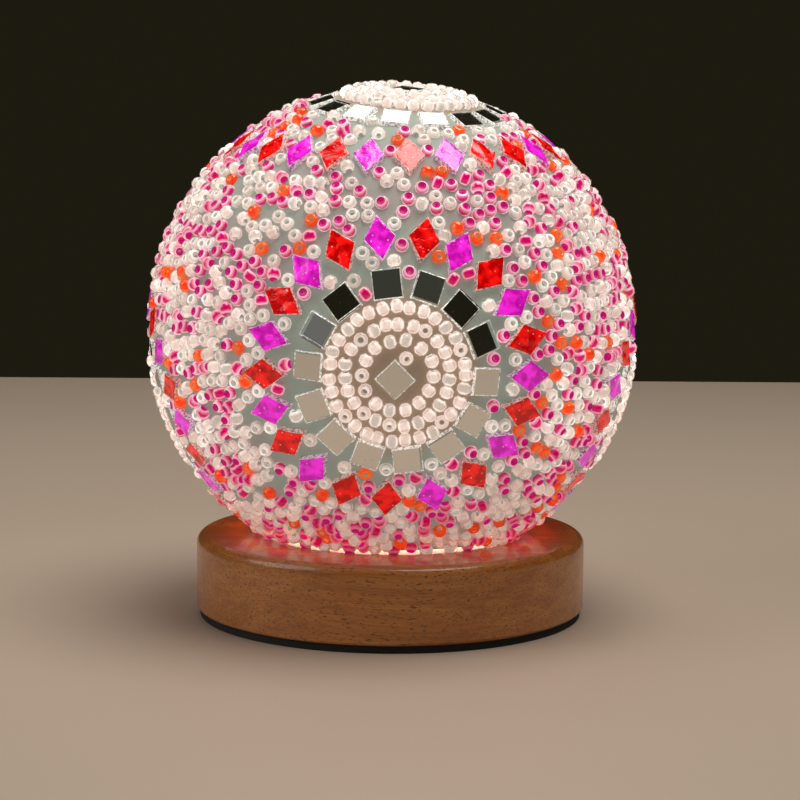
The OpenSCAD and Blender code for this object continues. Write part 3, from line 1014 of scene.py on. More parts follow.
@dataclass(frozen=True)
class BeadShape:
    """One seed bead, and the two ways that it lies.

    Attributes:
        diameter: outside diameter.
        length: along the hole.
        hole: diameter of the hole.
        core: diameter of the lining where it is seen through the glass.
        sides: number of flats round it.
        mouth: height of the hole's rim, as a share of the half length.
        belt: half width of the band where the lining shows, as a share of the half length.
        bedded: how much of the bead sits in the grout, as a share of its height.
        shoulders: its outline from one end to the other, as shares of radius and half length.
        lining_across: width of the lining, as a share of the core's.
        lining_along: length of the lining, as a share of the core's.
        fade: how fast the light grows past the belt.
    """

    diameter: float
    length: float
    hole: float
    core: float
    sides: int = 10
    mouth: float = 0.82
    belt: float = 0.45
    bedded: float = 0.22
    shoulders: tuple[tuple[float, float], ...] = ((0.6, 1.0), (1.0, 0.45), (1.0, -0.45), (0.6, -1.0))
    lining_across: float = 0.99
    lining_along: float = 0.94
    fade: float = 2

    def outline(self) -> list[Vector]:
        """Half of the section of the glass, from the mouth of the hole round the outside to its foot."""
        inner, half = self.core / 2, self.length / 2
        points = [Vector((inner, 0, half * self.mouth))]
        points += [Vector((across * self.diameter / 2, 0, up * half)) for across, up in self.shoulders]
        return points + [Vector((inner, 0, -half * self.mouth))]

    def turned(self, bm: bmesh.types.BMesh, outline: Sequence[Vector], closed: bool, material: int) -> None:
        """Spins an outline round Z into the bmesh.

        Args:
            bm: the bmesh that it is added to.
            outline: the outline's points.
            closed: whether the last point joins the first.
            material: the material number of its faces.
        """
        old = set(bm.faces)
        points = [bm.verts.new(p) for p in outline]
        ends = points[1:] + (points[:1] if closed else [])
        loop = [bm.edges.new((a, b)) for a, b in zip(points, ends)]
        bmesh.ops.spin(
            bm,
            geom=points + loop,
            axis=(0, 0, 1),
            cent=(0, 0, 0),
            angle=2 * math.pi,
            steps=self.sides,
            use_merge=True,
        )
        for face in bm.faces:
            if face not in old:
                face.material_index = material

    def stamp(self, flat: bool) -> Stamp:
        """Shapes a bead that sits in its bed, whose height is Z = 0.

        Args:
            flat: True if its hole points outwards, False if it lies on its side with its hole along X.

        Returns:
            Its arrays, with material 0 for the glass and 1 for the hole.
        """
        bm = bmesh.new()
        self.turned(bm, self.outline(), True, 0)
        half, inner = self.length / 2, self.hole / 2
        if self.core > self.hole * 1.05:
            lip, wall = self.core / 2 * self.lining_across, half * self.mouth * self.lining_along
            section = ((lip, wall), (inner, wall), (inner, -wall), (lip, -wall))
            self.turned(bm, [Vector((across, 0, up)) for across, up in section], False, 1)
        bmesh.ops.remove_doubles(bm, verts=bm.verts, dist=0.0005 * MM)
        bmesh.ops.recalc_face_normals(bm, faces=bm.faces)
        for face in bm.faces:
            middle = face.calc_center_median()
            if math.hypot(middle.x, middle.y) < self.core / 2 * 1.02:
                face.material_index = 1
        shine = [share((abs(v.co.z) / half / self.belt - 1) * self.fade) for v in bm.verts]
        lift = half - self.length * self.bedded
        if not flat:
            lift = self.diameter * (0.5 - self.bedded / 2)
            bmesh.ops.rotate(bm, verts=bm.verts, matrix=Matrix.Rotation(math.pi / 2, 3, "Y"))
        bmesh.ops.translate(bm, verts=bm.verts, vec=(0, 0, lift))
        bm.verts.index_update()
        corners = np.array([v.co[:] for v in bm.verts])
        faces = np.array([[v.index for v in f.verts] for f in bm.faces])
        materials = np.array([f.material_index for f in bm.faces])
        bm.free()
        return Stamp(corners, faces, materials, np.array(shine))


@dataclass(frozen=True)
class BeadPlace:
    """Where one bead lies and how it looks.

    Attributes:
        foot: the point of the bed under it.
        out: the direction in which it stands out of the bed.
        along: roughly the direction of its hole, if it lies on its side.
        flat: whether its hole points outwards.
        tone: how bright it is.
        low: how far it is into the dim lower part of the globe.
        kind: what kind of bead it is.
    """

    foot: Vector
    out: Vector
    along: Vector
    flat: bool
    tone: float
    low: float
    kind: BeadKind


@dataclass
class BeadLayer:
    """Stamps beads of one kind into one piece.

    Attributes:
        shapes: the shape of each kind.
        finishes: the finish of each kind.
        stamps: each kind shaped both ways, with its hole outwards or not.
        materials: the materials of each kind.
    """

    shapes: dict[BeadKind, BeadShape]
    finishes: dict[BeadKind, BeadFinish]
    stamps: dict[tuple[BeadKind, bool], Stamp] = field(default_factory=dict)
    materials: dict[BeadKind, list[bpy.types.Material]] = field(default_factory=dict)

    def __post_init__(self) -> None:
        """Shapes every kind of bead both ways and builds its materials once."""
        for kind, shape in self.shapes.items():
            for flat in (True, False):
                self.stamps[kind, flat] = shape.stamp(flat)
        for kind, finish in self.finishes.items():
            self.materials[kind] = [finish.glass_body(), finish.hole_wall()]

    def piece(self, name: str, kind: BeadKind, places: Sequence[BeadPlace]) -> bpy.types.Object:
        """Joins the beads at these places.

        Args:
            name: the piece's name.
            kind: the beads' kind, which gives its shape and its materials.
            places: where they lie.

        Returns:
            The piece, riding on the shade.
        """
        corners, faces, materials, start = [], [], [], 0
        shades: dict[str, list[np.ndarray]] = {"tone": [], "shine": [], "low": []}
        for place in places:
            stamp = self.stamps[kind, place.flat]
            turn = np.array(standing(place.foot, place.out, place.along))
            corners.append(stamp.corners @ turn[:3, :3].T + turn[:3, 3])
            faces.append(stamp.faces + start)
            materials.append(stamp.materials)
            shades["tone"].append(np.full(len(stamp.corners), place.tone))
            shades["shine"].append(stamp.shine)
            shades["low"].append(np.full(len(stamp.corners), place.low))
            start += len(stamp.corners)
        mesh = bpy.data.meshes.new(name)
        mesh.from_pydata(np.concatenate(corners).tolist(), [], np.concatenate(faces).tolist())
        mesh.polygons.foreach_set("material_index", np.concatenate(materials))
        mesh.polygons.foreach_set("use_smooth", [True] * len(mesh.polygons))
        for key, values in shades.items():
            paint(mesh, key, np.concatenate(values))
        for material in self.materials[kind]:
            mesh.materials.append(material)
        made = linked(name, mesh)
        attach(made, "shade")
        LOG.info("%s: %d beads, %d faces", name, len(places), len(mesh.polygons))
        return made


@dataclass
class BeadField:
    """Lays loose beads over the globe, close together and clear of the tiles and the medallions' own beads.

    Attributes:
        globe: the sphere that they lie on.
        tiles: the tiles that they keep clear of.
        rings: the feet of the medallions' own beads.
        spacing: usual distance between two neighbours.
        clearance: least distance from a bead's middle to a tile's edge.
        scatter: how far the first places are moved at random, as a share of the spacing.
        overlap: how far inside the clearance a settled bead may lie, as a share of it.
        foot_gap: lowest bead's height over the globe's foot, as a share of the spacing.
        push: share of the way that two beads move apart in a round.
        nearby: how far away a neighbour is looked for, in spacings.
        block: number of beads whose neighbours are looked for at a time.
        rounds: number of rounds in which they push each other apart.
        recount: number of rounds between two searches for neighbours.
        room: area that one bead takes, as a share of the square of the spacing.
        least: least distance between two neighbours, as a share of the spacing.
        tries: number of places tried when the gaps that are left get filled.
    """

    globe: Globe
    tiles: list[TilePlace]
    rings: list[Vector]
    spacing: float
    clearance: float
    rounds: int = 160
    recount: int = 5
    room: float = 0.97
    least: float = 0.96
    tries: int = 60000
    scatter: float = 0.3
    overlap: float = 0.25
    foot_gap: float = 0.42
    push: float = 0.3
    nearby: float = 1.5
    block: int = 500

    @staticmethod
    def directions(turn: np.ndarray, height: np.ndarray) -> np.ndarray:
        """The directions with these turns round Z and these heights."""
        flat = np.sqrt(1 - height**2)
        return np.stack([flat * np.cos(turn), flat * np.sin(turn), height], 1)

    def lowest(self) -> float:
        """Height of the lowest bead's middle over the globe's centre, as a share of the radius."""
        return (self.globe.foot + self.spacing * self.foot_gap - self.globe.centre.z) / self.globe.bed

    def start(self, rng: np.random.Generator) -> np.ndarray:
        """Lays an even spiral of beads, each moved a little at random, with none inside a tile.

        Args:
            rng: the seeded source of random numbers.

        Returns:
            Their outward directions.
        """
        low = self.lowest()
        area = 2 * math.pi * self.globe.bed**2 * (1 - low)
        count = int(area / (self.spacing**2 * self.room))
        index = np.arange(count) + 0.5
        height = 1 - (1 - low) * index / count
        turn = math.pi * (1 + math.sqrt(5)) * index
        spiral = self.directions(turn, height)
        spiral += rng.normal(0, self.scatter * self.spacing / self.globe.bed, spiral.shape)
        spiral /= np.linalg.norm(spiral, axis=1, keepdims=True)
        _push, depth = self.tile_push(spiral * self.globe.bed)
        return spiral[depth < self.clearance * 0.9]

    def tile_push(self, points: np.ndarray) -> tuple[np.ndarray, np.ndarray]:
        """How each point has to move to keep clear of the tiles.

        Args:
            points: points on the bed, relative to the globe's centre.

        Returns:
            The move of each point, and how deep it is inside the kept-clear edge.
        """
        push = np.zeros_like(points)
        worst = np.zeros(len(points))
        for tile in self.tiles:
            foot = np.array(tile.foot - self.globe.centre)
            distance = np.linalg.norm(points - foot, axis=1)
            near = np.nonzero(distance < tile.reach + self.clearance * 1.5)[0]
            if not len(near):
                continue
            x_axis = np.array(tile.corner)
            y_axis = np.cross(np.array(tile.out), x_axis)
            local = points[near] - foot
            x, y = local @ x_axis, local @ y_axis
            edge = np.array([tile.width, tile.reach]) / math.hypot(tile.width, tile.reach)
            sign_x, sign_y = np.where(x < 0, -1.0, 1.0), np.where(y < 0, -1.0, 1.0)
            past = np.abs(x) * edge[0] + np.abs(y) * edge[1] - tile.reach * edge[0]
            over = np.maximum(np.abs(x) - tile.reach, np.abs(y) - tile.width)
            depth = self.clearance - np.maximum(past, over)
            moved = depth > 0
            step = (sign_x * edge[0])[:, None] * x_axis + (sign_y * edge[1])[:, None] * y_axis
            hit = near[moved]
            push[hit] += step[moved] * depth[moved, None]
            worst[hit] = np.maximum(worst[hit], depth[moved])
        return push, worst

    def neighbours(self, points: np.ndarray, everything: np.ndarray) -> tuple[np.ndarray, np.ndarray]:
        """Finds the beads that lie close together.

        Args:
            points: the loose beads' feet, relative to the globe's centre.
            everything: the same, with the medallions' own beads after them.

        Returns:
            The numbers of a loose bead and of any bead near it, pair by pair.
        """
        firsts, seconds = [], []
        for first in range(0, len(points), self.block):
            part = points[first : first + self.block]
            near = (part @ everything.T) > self.globe.bed**2 - (self.nearby * self.spacing) ** 2 / 2
            i, j = np.nonzero(near)
            keep = i + first != j
            firsts.append(i[keep] + first)
            seconds.append(j[keep])
        return np.concatenate(firsts), np.concatenate(seconds)

    def laid(self, rng: np.random.Generator) -> list[Vector]:
        """Pushes the beads apart until they settle, and drops those with no room.

        Args:
            rng: the seeded source of random numbers.

        Returns:
            The outward directions of the beads that stay.
        """
        points = self.start(rng) * self.globe.bed
        fixed = np.array([np.array(p - self.globe.centre) for p in self.rings]).reshape(-1, 3)
        floor = self.lowest() * self.globe.bed
        for step in range(self.rounds):
            everything = np.vstack([points, fixed])
            if step % self.recount == 0:
                i, j = self.neighbours(points, everything)
            gap = points[i] - everything[j]
            distance = np.linalg.norm(gap, axis=1)
            short = np.clip(self.spacing - distance, 0, None)
            apart = np.zeros_like(points)
            np.add.at(apart, i, gap * (short / np.maximum(distance, 1e-9))[:, None])
            away, _depth = self.tile_push(points)
            points = points + apart * self.push + away
            points[:, 2] = np.maximum(points[:, 2], floor)
            points *= self.globe.bed / np.linalg.norm(points, axis=1, keepdims=True)
        return self.kept(points, fixed, floor, rng)

    def kept(
        self,
        points: np.ndarray,
        fixed: np.ndarray,
        floor: float,
        rng: np.random.Generator,
    ) -> list[Vector]:
        """Drops the beads that still have no room, and fills the gaps that are left.

        Args:
            points: the beads' feet, relative to the globe's centre.
            fixed: the feet of the medallions' own beads.
            floor: the lowest height that is allowed.
            rng: the seeded source of random numbers.

        Returns:
            The outward directions of the beads that stay.
        """
        _push, depth = self.tile_push(points)
        clear = (depth < self.clearance * self.overlap) & (points[:, 2] > floor - 0.3 * MM)
        order = np.nonzero(clear)[0][np.argsort(depth[clear])]
        taken = self.added(fixed, points[order])
        height = rng.uniform(self.lowest(), 1, self.tries)
        turn = rng.uniform(0, 2 * math.pi, self.tries)
        extra = self.directions(turn, height) * self.globe.bed
        _push, depth = self.tile_push(extra)
        filled = self.added(taken, extra[depth <= 0])
        counts = len(points), len(taken), len(filled)
        LOG.info("bead field: %d laid, %d kept, %d after filling", *counts)
        return [Vector(p / self.globe.bed) for p in filled[len(fixed) :]]

    def added(self, taken: np.ndarray, points: np.ndarray) -> np.ndarray:
        """Adds points one after another where there is room.

        Args:
            taken: the points that are there already.
            points: the points that are tried.

        Returns:
            The points that are there then.
        """
        least = self.spacing * self.least
        for point in points:
            if ((taken - point) ** 2).sum(1).min() > least**2:
                taken = np.vstack([taken, point])
        return taken


@dataclass
class BeadCover:
    """All the beads of the globe: the field between the medallions, and the medallions' own rings.

    Attributes:
        globe: the sphere that they lie on.
        layer: what makes a piece of many beads.
        spacing: distance between two loose-laid beads.
        lined_share: share of lined beads in the field.
        orange_share: share of orange beads in the field.
        hollow_share: share of wide-holed beads among the clear ones.
        flat_share: share of field beads that lie with their hole outwards.
        ring_flat_share: the same in the medallions' rings.
        lean: how much a bead tips at random.
        sectors: number of pieces that the field is split into.
        drifts: how close together the drifts of lined beads are.
        drift: how much the share of lined beads changes from drift to drift.
        ring_tone: least brightness of a medallion's own bead.
        clearance: least distance from a loose bead's middle to a tile, as a share of its diameter.
        dim_from: height at which the globe starts to be dimmer, as a share of its radius.
        dim_over: how far below that it is dimmest.
    """

    globe: Globe
    layer: BeadLayer
    spacing: float = 4.22 * MM
    lined_share: float = 0.36
    orange_share: float = 0.07
    hollow_share: float = 0.3
    flat_share: float = 0.62
    ring_flat_share: float = 0.2
    lean: float = 0.12
    sectors: int = 3
    drifts: float = 3.2
    drift: float = 0.4
    ring_tone: float = 0.7
    clearance: float = 0.52
    dim_from: float = -0.3
    dim_over: float = 0.5

    def kind_at(self, direction: Vector, rng: np.random.Generator) -> BeadKind:
        """Picks a loose bead's kind, with drifts of the lined ones.

        Args:
            direction: where it lies, seen from the globe's centre.
            rng: the seeded source of random numbers.

        Returns:
            Its kind.
        """
        drift = noise.noise(direction * self.drifts + Vector((SEED, 0, 0)))
        draw = rng.random()
        if draw < self.orange_share:
            return BeadKind.ORANGE
        if draw < self.orange_share + self.lined_share * (1 + self.drift * drift):
            return BeadKind.LINED
        return self.clear_kind(rng)

    def clear_kind(self, rng: np.random.Generator) -> BeadKind:
        """Picks one of the two kinds of clear bead."""
        return BeadKind.HOLLOW if rng.random() < self.hollow_share else BeadKind.CLEAR

    def leaning(self, out: Vector, rng: np.random.Generator) -> Vector:
        """The outward direction, tipped a little at random."""
        return (out + Vector(rng.normal(0, self.lean, 3))).normalized()

    def lowness(self, out: Vector) -> float:
        """How far a bead is into the dim lower part of the globe, from 0 to 1."""
        return share((self.dim_from - out.z) / self.dim_over)

    def field_places(
        self,
        tiles: list[TilePlace],
        discs: list[list[Vector]],
        rng: np.random.Generator,
    ) -> list[BeadPlace]:
        """Where the loose-laid beads lie.

        Args:
            tiles: the tiles that they keep clear of.
            discs: the feet of the beads in each medallion's rings.
            rng: the seeded source of random numbers.

        Returns:
            Their places. Those inside a medallion's rings are clear ones.
        """
        rings = [foot for disc in discs for foot in disc]
        caps = []
        for disc in discs:
            outs = [self.globe.out_at(foot) for foot in disc]
            axis = sum(outs, Vector()).normalized()
            caps.append((axis, max(axis.angle(out) for out in outs)))
        room = self.layer.shapes[BeadKind.CLEAR].diameter * self.clearance
        places = []
        for out in BeadField(self.globe, tiles, rings, self.spacing, room).laid(rng):
            flat = bool(rng.random() < self.flat_share)
            along = Vector(rng.normal(0, 1, 3))
            foot = self.globe.centre + out * self.globe.bed
            kind = self.kind_at(out, rng)
            if any(axis.angle(out) < reach for axis, reach in caps):
                kind = BeadKind.CLEAR
            leaning = self.leaning(out, rng)
            places.append(BeadPlace(foot, leaning, along, flat, rng.random(), self.lowness(out), kind))
        return places

    def ring_places(self, node: str, rng: np.random.Generator) -> list[BeadPlace]:
        """Where a medallion's own beads lie.

        Args:
            node: the CAD node that they are read from.
            rng: the seeded source of random numbers.

        Returns:
            Their places.
        """
        middles = middles_of(node)
        axis = self.globe.out_of(middles)
        places = []
        for middle in middles:
            out = self.globe.out_at(middle)
            along = axis.cross(out).normalized() + Vector(rng.normal(0, self.lean, 3))
            flat = bool(rng.random() < self.ring_flat_share)
            foot = self.globe.centre + out * self.globe.bed
            kind = self.clear_kind(rng)
            tone = self.ring_tone + 0.3 * rng.random()
            places.append(BeadPlace(foot, self.leaning(out, rng), along, flat, tone, self.lowness(out), kind))
        return places

    def stand(self, name: str, places: Sequence[BeadPlace], node: str) -> None:
        """Builds one piece for each kind of bead among these places, to stand for the CAD node.

        Args:
            name: the pieces' name, before their kind.
            places: where the beads lie.
            node: the CAD node.
        """
        for kind in BeadKind:
            chosen = [p for p in places if p.kind is kind]
            if chosen:
                piece = self.layer.piece(f"{name}_{kind.value}", kind, chosen)
                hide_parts(node)

    def build(self, tiles: list[TilePlace], discs: Sequence[str]) -> None:
        """Builds every bead piece.

        Args:
            tiles: where the tiles stand.
            discs: the CAD nodes of the medallions' own beads.
        """
        rng = np.random.default_rng(SEED)
        rings: list[list[Vector]] = []
        for disc in discs:
            places = self.ring_places(disc, rng)
            rings.append([p.foot for p in places])
            self.stand(disc, places, disc)
        loose = self.field_places(tiles, rings, rng)
        for sector in range(self.sectors):
            chosen = [p for p in loose if self.sector(p.out) == sector]
            self.stand(f"field_{sector + 1}", chosen, "bead_field")

    def sector(self, out: Vector) -> int:
        """Which equal sector round the globe a direction is in."""
        turn = (math.atan2(out.y, out.x) + math.pi) / (2 * math.pi)
        return min(int(turn * self.sectors), self.sectors - 1)


# ---- Tiles ----


@dataclass
class TileSet:
    """Tiles of one kind in one medallion, each nipped from a sheet by hand.

    Attributes:
        node: the CAD node that they stand for.
        slot: name of its material slot; not used.
        face: finish of the front.
        edge: finish of the nipped edges.
        silver: finish of the silver under a mirror tile's glass, if it is one.
        splits: number of fields along each side.
        border: width of the nipped border.
        chip: how deep the border is nipped.
        swell: how much the face waves.
        slant: how much the nipped sides lean in.
        lean_both: share of the slant that both sides of a pair have.
        lean_one: share of it that only one of them has.
        chips: size of the broad chips and of the fine ones.
        chip_fine: depth of the fine chips, as a share of the broad ones'.
        nipped: usual depth of the chips, as a share of the deepest.
        dents: length of the face's broad waves and of its fine ones.
        dent_fine: height of the fine waves, as a share of the broad ones'.
        sunk: how far the face sinks as a whole, as a share of the swell.
        silver_up: height of the silver, as a share of the thickness.
        widest: how much wider than the narrowest the widest border of the silver may be.
        thinnest: narrowest border of the silver, as a share of the nipped one.
    """

    node: str
    slot: str
    face: bpy.types.Material
    edge: bpy.types.Material
    silver: Union[bpy.types.Material, None] = None
    splits: int = 8
    border: float = 0.26 * MM
    chip: float = 0.22 * MM
    swell: float = 0.0
    slant: float = 0.22
    silver_up: float = 0.82
    widest: float = 6.0
    thinnest: float = 2.2
    lean_both: float = 0.5
    lean_one: float = 1.6
    chips: tuple[float, float] = (1.3 * MM, 0.6 * MM)
    chip_fine: float = 0.5
    nipped: float = 0.45
    dents: tuple[float, float] = (3.2 * MM, 1.4 * MM)
    dent_fine: float = 0.45
    sunk: float = 0.35

    def sheet(self, bm: bmesh.types.BMesh, place: TilePlace, height: float) -> list[bmesh.types.BMVert]:
        """Adds a flat grid with the tile's outline, its diagonal along X.

        Args:
            bm: the bmesh that it is added to.
            place: the tile's place, which gives its size.
            height: the grid's height.

        Returns:
            The grid's corners.
        """
        old = set(bm.verts)
        bmesh.ops.create_grid(bm, x_segments=self.splits, y_segments=self.splits, size=1)
        made = [v for v in bm.verts if v not in old]
        side = math.hypot(place.reach, place.width)
        first = 1 - 2 / self.splits
        line = 1 - 2 * self.border / side
        for vert in made:
            u, v = (c * line / first if abs(c) < 0.999 else c for c in vert.co.xy)
            vert.co = place.spot(u, v, height)
        return made

    def leaning(self, across: float, lean: float) -> float:
        """Moves a point of the face in, where the sides lean.

        Args:
            across: how far it is between one pair of sides, from -1 to 1.
            lean: how much those sides lean on this tile.

        Returns:
            How far it is between them then.
        """
        inwards = abs(across) * self.lean_both * abs(lean) + max(0.0, across * lean) * self.lean_one
        return across - self.slant * inwards * (1 if across > 0 else -1)

    def one(self, place: TilePlace, shift: Vector) -> bpy.types.Mesh:
        """Shapes one tile in its own place.

        Args:
            place: where it stands.
            shift: where its noise is read, so that no two tiles are alike.

        Returns:
            A mesh with material 0 for the face, 1 for the edge and 2 for the silver.
        """
        bm = bmesh.new()
        self.sheet(bm, place, 0)
        made = bmesh.ops.extrude_face_region(bm, geom=bm.faces[:])
        top = {g for g in made["geom"] if isinstance(g, bmesh.types.BMVert)}
        rim = {v for v in bm.verts if abs(v.co.x) / place.reach + abs(v.co.y) / place.width > 0.99}
        lean_u, lean_v = (noise.noise(shift + Vector((i * 5.3, 0.4, 0))) for i in range(2))
        for vert in bm.verts:
            nip = share(self.nipped + waves(vert.co, self.chips, self.chip_fine, shift))
            flat = Vector((vert.co.x, vert.co.y, 0))
            if vert in top:
                along, across = flat.x / place.reach, flat.y / place.width
                u, v = self.leaning(along + across, lean_u), self.leaning(along - across, lean_v)
                vert.co = place.spot(u, v, place.thickness)
            if vert in rim:
                vert.co -= flat.normalized() * self.chip * nip
                vert.co.z -= self.chip * (0.5 + nip) if vert in top else 0
            elif vert in top:
                vert.co.z += self.swell * (waves(flat, self.dents, self.dent_fine, shift) - self.sunk)
        bmesh.ops.recalc_face_normals(bm, faces=bm.faces)
        for face in bm.faces:
            edge = face.normal.z < 0.5 or any(v in rim for v in face.verts)
            face.material_index = 1 if edge else 0
            face.smooth = self.swell > 0 and not edge
        if self.silver:
            self.lay_silver(bm, place, shift)
        mesh = bpy.data.meshes.new("tile")
        bm.to_mesh(mesh)
        bm.free()
        mesh.transform(place.matrix())
        return mesh

    def lay_silver(self, bm: bmesh.types.BMesh, place: TilePlace, shift: Vector) -> None:
        """Adds the silver inside the glass, with a wide clear border on one side or two.

        Args:
            bm: the bmesh that it is added to.
            place: the tile's place, which gives its size.
            shift: where the noise is read that makes its borders.
        """
        old = set(bm.faces)
        bmesh.ops.create_grid(bm, x_segments=1, y_segments=1, size=1)
        thin = self.thinnest * self.border / math.hypot(place.reach, place.width)
        sides = [noise.noise(shift + Vector((0.7, i * 4.1, 2.3))) for i in range(4)]
        inset = [thin * (1 + self.widest * max(0.0, side)) for side in sides]
        for face in bm.faces:
            if face not in old:
                face.material_index = 2
                for vert in face.verts:
                    u = 1 - inset[0] if vert.co.x > 0 else inset[1] - 1
                    v = 1 - inset[2] if vert.co.y > 0 else inset[3] - 1
                    vert.co = place.spot(u, v, place.thickness * self.silver_up)

    def build(self, globe: Globe) -> list[TilePlace]:
        """Builds the piece that stands for the node.

        Args:
            globe: the sphere that the tiles stand on.

        Returns:
            Where its tiles stand.
        """
        places = [TilePlace.read(s, globe) for s in solids_of(bpy.data.objects[self.node])]
        mesh = bpy.data.meshes.new(f"{self.node}_glass")
        bm = bmesh.new()
        for number, place in enumerate(places):
            tile = self.one(place, Vector((number * 3.7, len(self.node) * 1.9, SEED)))
            bm.from_mesh(tile)
            bpy.data.meshes.remove(tile)
        bm.to_mesh(mesh)
        bm.free()
        for material in (self.face, self.edge, self.silver):
            if material:
                mesh.materials.append(material)
        piece = linked(mesh.name, mesh)
        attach(piece, "shade")
        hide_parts(self.node)
        LOG.info("%s: %d tiles", piece.name, len(places))
        return places


# ---- Grout ----


@dataclass
class GroutCoat:
    """Grout that rises a little between the beads, as a closed shell on the glass.

    Attributes:
        globe: the sphere that it covers.
        discs: middle and reach of each medallion, where it is warm.
        stars: middle and reach of the tiles round each of them, where it is cool.
        rise: how far it rises over the bed.
        ripple: height of its broad waves.
        lengths: length of its broad waves and of its fine ones.
        fine: height of the fine waves, as a share of the broad ones'.
        fade: width of the soft edge between two tints, in radians.
        detail: number of times that its faces are split.
    """

    globe: Globe
    discs: list[tuple[Vector, float]]
    stars: list[tuple[Vector, float]]
    rise: float = 0.95 * MM
    ripple: float = 0.2 * MM
    lengths: tuple[float, float] = (4 * MM, 1.7 * MM)
    fine: float = 0.5
    fade: float = 0.07
    detail: int = 6

    def inside(self, out: Vector, caps: list[tuple[Vector, float]]) -> float:
        """How far a direction lies inside any of the round caps, from 0 to 1."""
        return max((share((reach - out.angle(axis)) / self.fade) for axis, reach in caps), default=0.0)

    def build(self, material: bpy.types.Material) -> bpy.types.Object:
        """Builds the shell.

        Args:
            material: its finish.

        Returns:
            The piece, which stands for the grout bed.
        """
        bm = bmesh.new()
        bmesh.ops.create_icosphere(bm, subdivisions=self.detail, radius=self.globe.bed)
        for vert in bm.verts:
            out = vert.co.normalized()
            wave = waves(vert.co, self.lengths, self.fine, Vector())
            vert.co = out * (self.globe.bed + self.rise + self.ripple * wave)
        bmesh.ops.translate(bm, verts=bm.verts, vec=self.globe.centre)
        bmesh.ops.bisect_plane(
            bm,
            geom=bm.verts[:] + bm.edges[:] + bm.faces[:],
            dist=0.01 * MM,
            plane_co=(0, 0, self.globe.foot),
            plane_no=(0, 0, -1),
            clear_outer=True,
        )
        bmesh.ops.solidify(bm, geom=bm.faces[:], thickness=self.rise)
        bmesh.ops.recalc_face_normals(bm, faces=bm.faces)
        made = finished("grout_coat", bm, [material])
        directions = [self.globe.out_at(v.co) for v in made.data.vertices]
        for name, caps in (("disc", self.discs), ("star", self.stars)):
            paint(made.data, name, [self.inside(d, caps) for d in directions])
        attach(made, "shade")
        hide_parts("grout_bed")
        return made


# ---- Fittings that keep their CAD shape ----


@dataclass
class Fittings:
    """The CAD nodes that stay as they are and only get a finish.

    Attributes:
        wood: finish of the base.
    """

    wood: VarnishedWood = VarnishedWood()

    def finishes(self) -> dict[str, bpy.types.Material]:
        """One finish for each node, shared where the real pieces share it."""
        black = MouldedPlastic("black_plastic", (0.02, 0.02, 0.021), 0.5).make()
        steel = PlatedMetal("screw_steel", (0.62, 0.61, 0.58), 0.28).make()
        chip = MouldedPlastic("chip_plastic", (0.03, 0.03, 0.032), 0.55).make()
        ivory = MouldedPlastic("ivory_plastic", (0.75, 0.71, 0.6), 0.4).make()
        sleeve = MouldedPlastic("lead_sleeve", (0.4, 0.02, 0.02), 0.4).make()
        plate = MouldedPlastic("plate_plastic", (0.018, 0.018, 0.019), 0.42, 0.5 * MM, 0.05 * MM).make()
        return {
            "wood_base": self.wood.make(),
            "foot_pad": SoftFoam("black_foam", (0.012, 0.012, 0.012)).make(),
            "bottom_cover": black,
            "cover_screws": steel,
            "led_board": CircuitBoard("light_board", (0.8, 0.8, 0.77), (0.7, 0.7, 0.66)).make(),
            "led_chips": LitPanel("led_phosphor", (1.0, 0.83, 0.5), 4.0).make(),
            "board_screws": steel,
            "led_leads": sleeve,
            "diffuser": LitPanel("frosted_acrylic", (1.0, 0.86, 0.72), 3.0).make(),
            "seat_ring": SoftFoam("silicone", (0.55, 0.5, 0.46), 2.5 * MM).make(),
            "battery_cell": PlatedMetal("battery_foil", (0.7, 0.7, 0.72), 0.35, (1, 8, 1)).make(),
            "battery_tape": SoftFoam("foam_tape", (0.7, 0.7, 0.66)).make(),
            "battery_leads": sleeve,
            "battery_socket": ivory,
            "rear_plate": plate,
            "plate_screws": PlatedMetal("dark_screw", (0.12, 0.12, 0.12), 0.35).make(),
            "control_board": CircuitBoard("circuit_board", (0.01, 0.12, 0.04), (0.03, 0.22, 0.08)).make(),
            "control_screws": steel,
            "control_chips": chip,
            "usb_shell": PlatedMetal("inlet_metal", (0.66, 0.66, 0.66), 0.25, (1, 6, 1)).make(),
            "usb_tongue": black,
            "switch_body": chip,
            "button_plunger": ivory,
            "power_button": MouldedPlastic("button_plastic", (0.04, 0.04, 0.042), 0.3).make(),
            "charge_light": LitPanel("charge_lamp", (0.5, 1.0, 0.6), 0.4).make(),
            "glass_shade": BlownGlass().make(),
        }

    def dress(self, nodes: dict[str, bpy.types.Object]) -> None:
        """Gives every kept node its finish.

        Args:
            nodes: the CAD nodes by name.
        """
        for name, material in self.finishes().items():
            node = nodes[name]
            node.data.materials.clear()
            node.data.materials.append(material)
            LOG.info("%s keeps its shape: %s", name, material.name)


# ---- Room ----


@dataclass(frozen=True)
class SoftLight:
    """One soft round light that faces the lamp.

    Attributes:
        name: the light's name.
        at: where it hangs.
        size: width of its face.
        watts: its power.
        colour: its colour.
        aim: the point that it faces.
    """

    name: str
    at: tuple[float, float, float]
    size: float
    watts: float
    colour: Colour
    aim: tuple[float, float, float] = (0, 0, 0.07)

    def hang(self) -> None:
        """Hangs the light."""
        data = bpy.data.lights.new(self.name, "AREA")
        data.shape = "DISK"
        data.size = self.size
        data.energy = self.watts
        data.color = self.colour
        way = Vector(self.aim) - Vector(self.at)
        turn = way.to_track_quat("-Z", "Y").to_matrix().to_4x4()
        linked(self.name, data).matrix_world = Matrix.Translation(self.at) @ turn


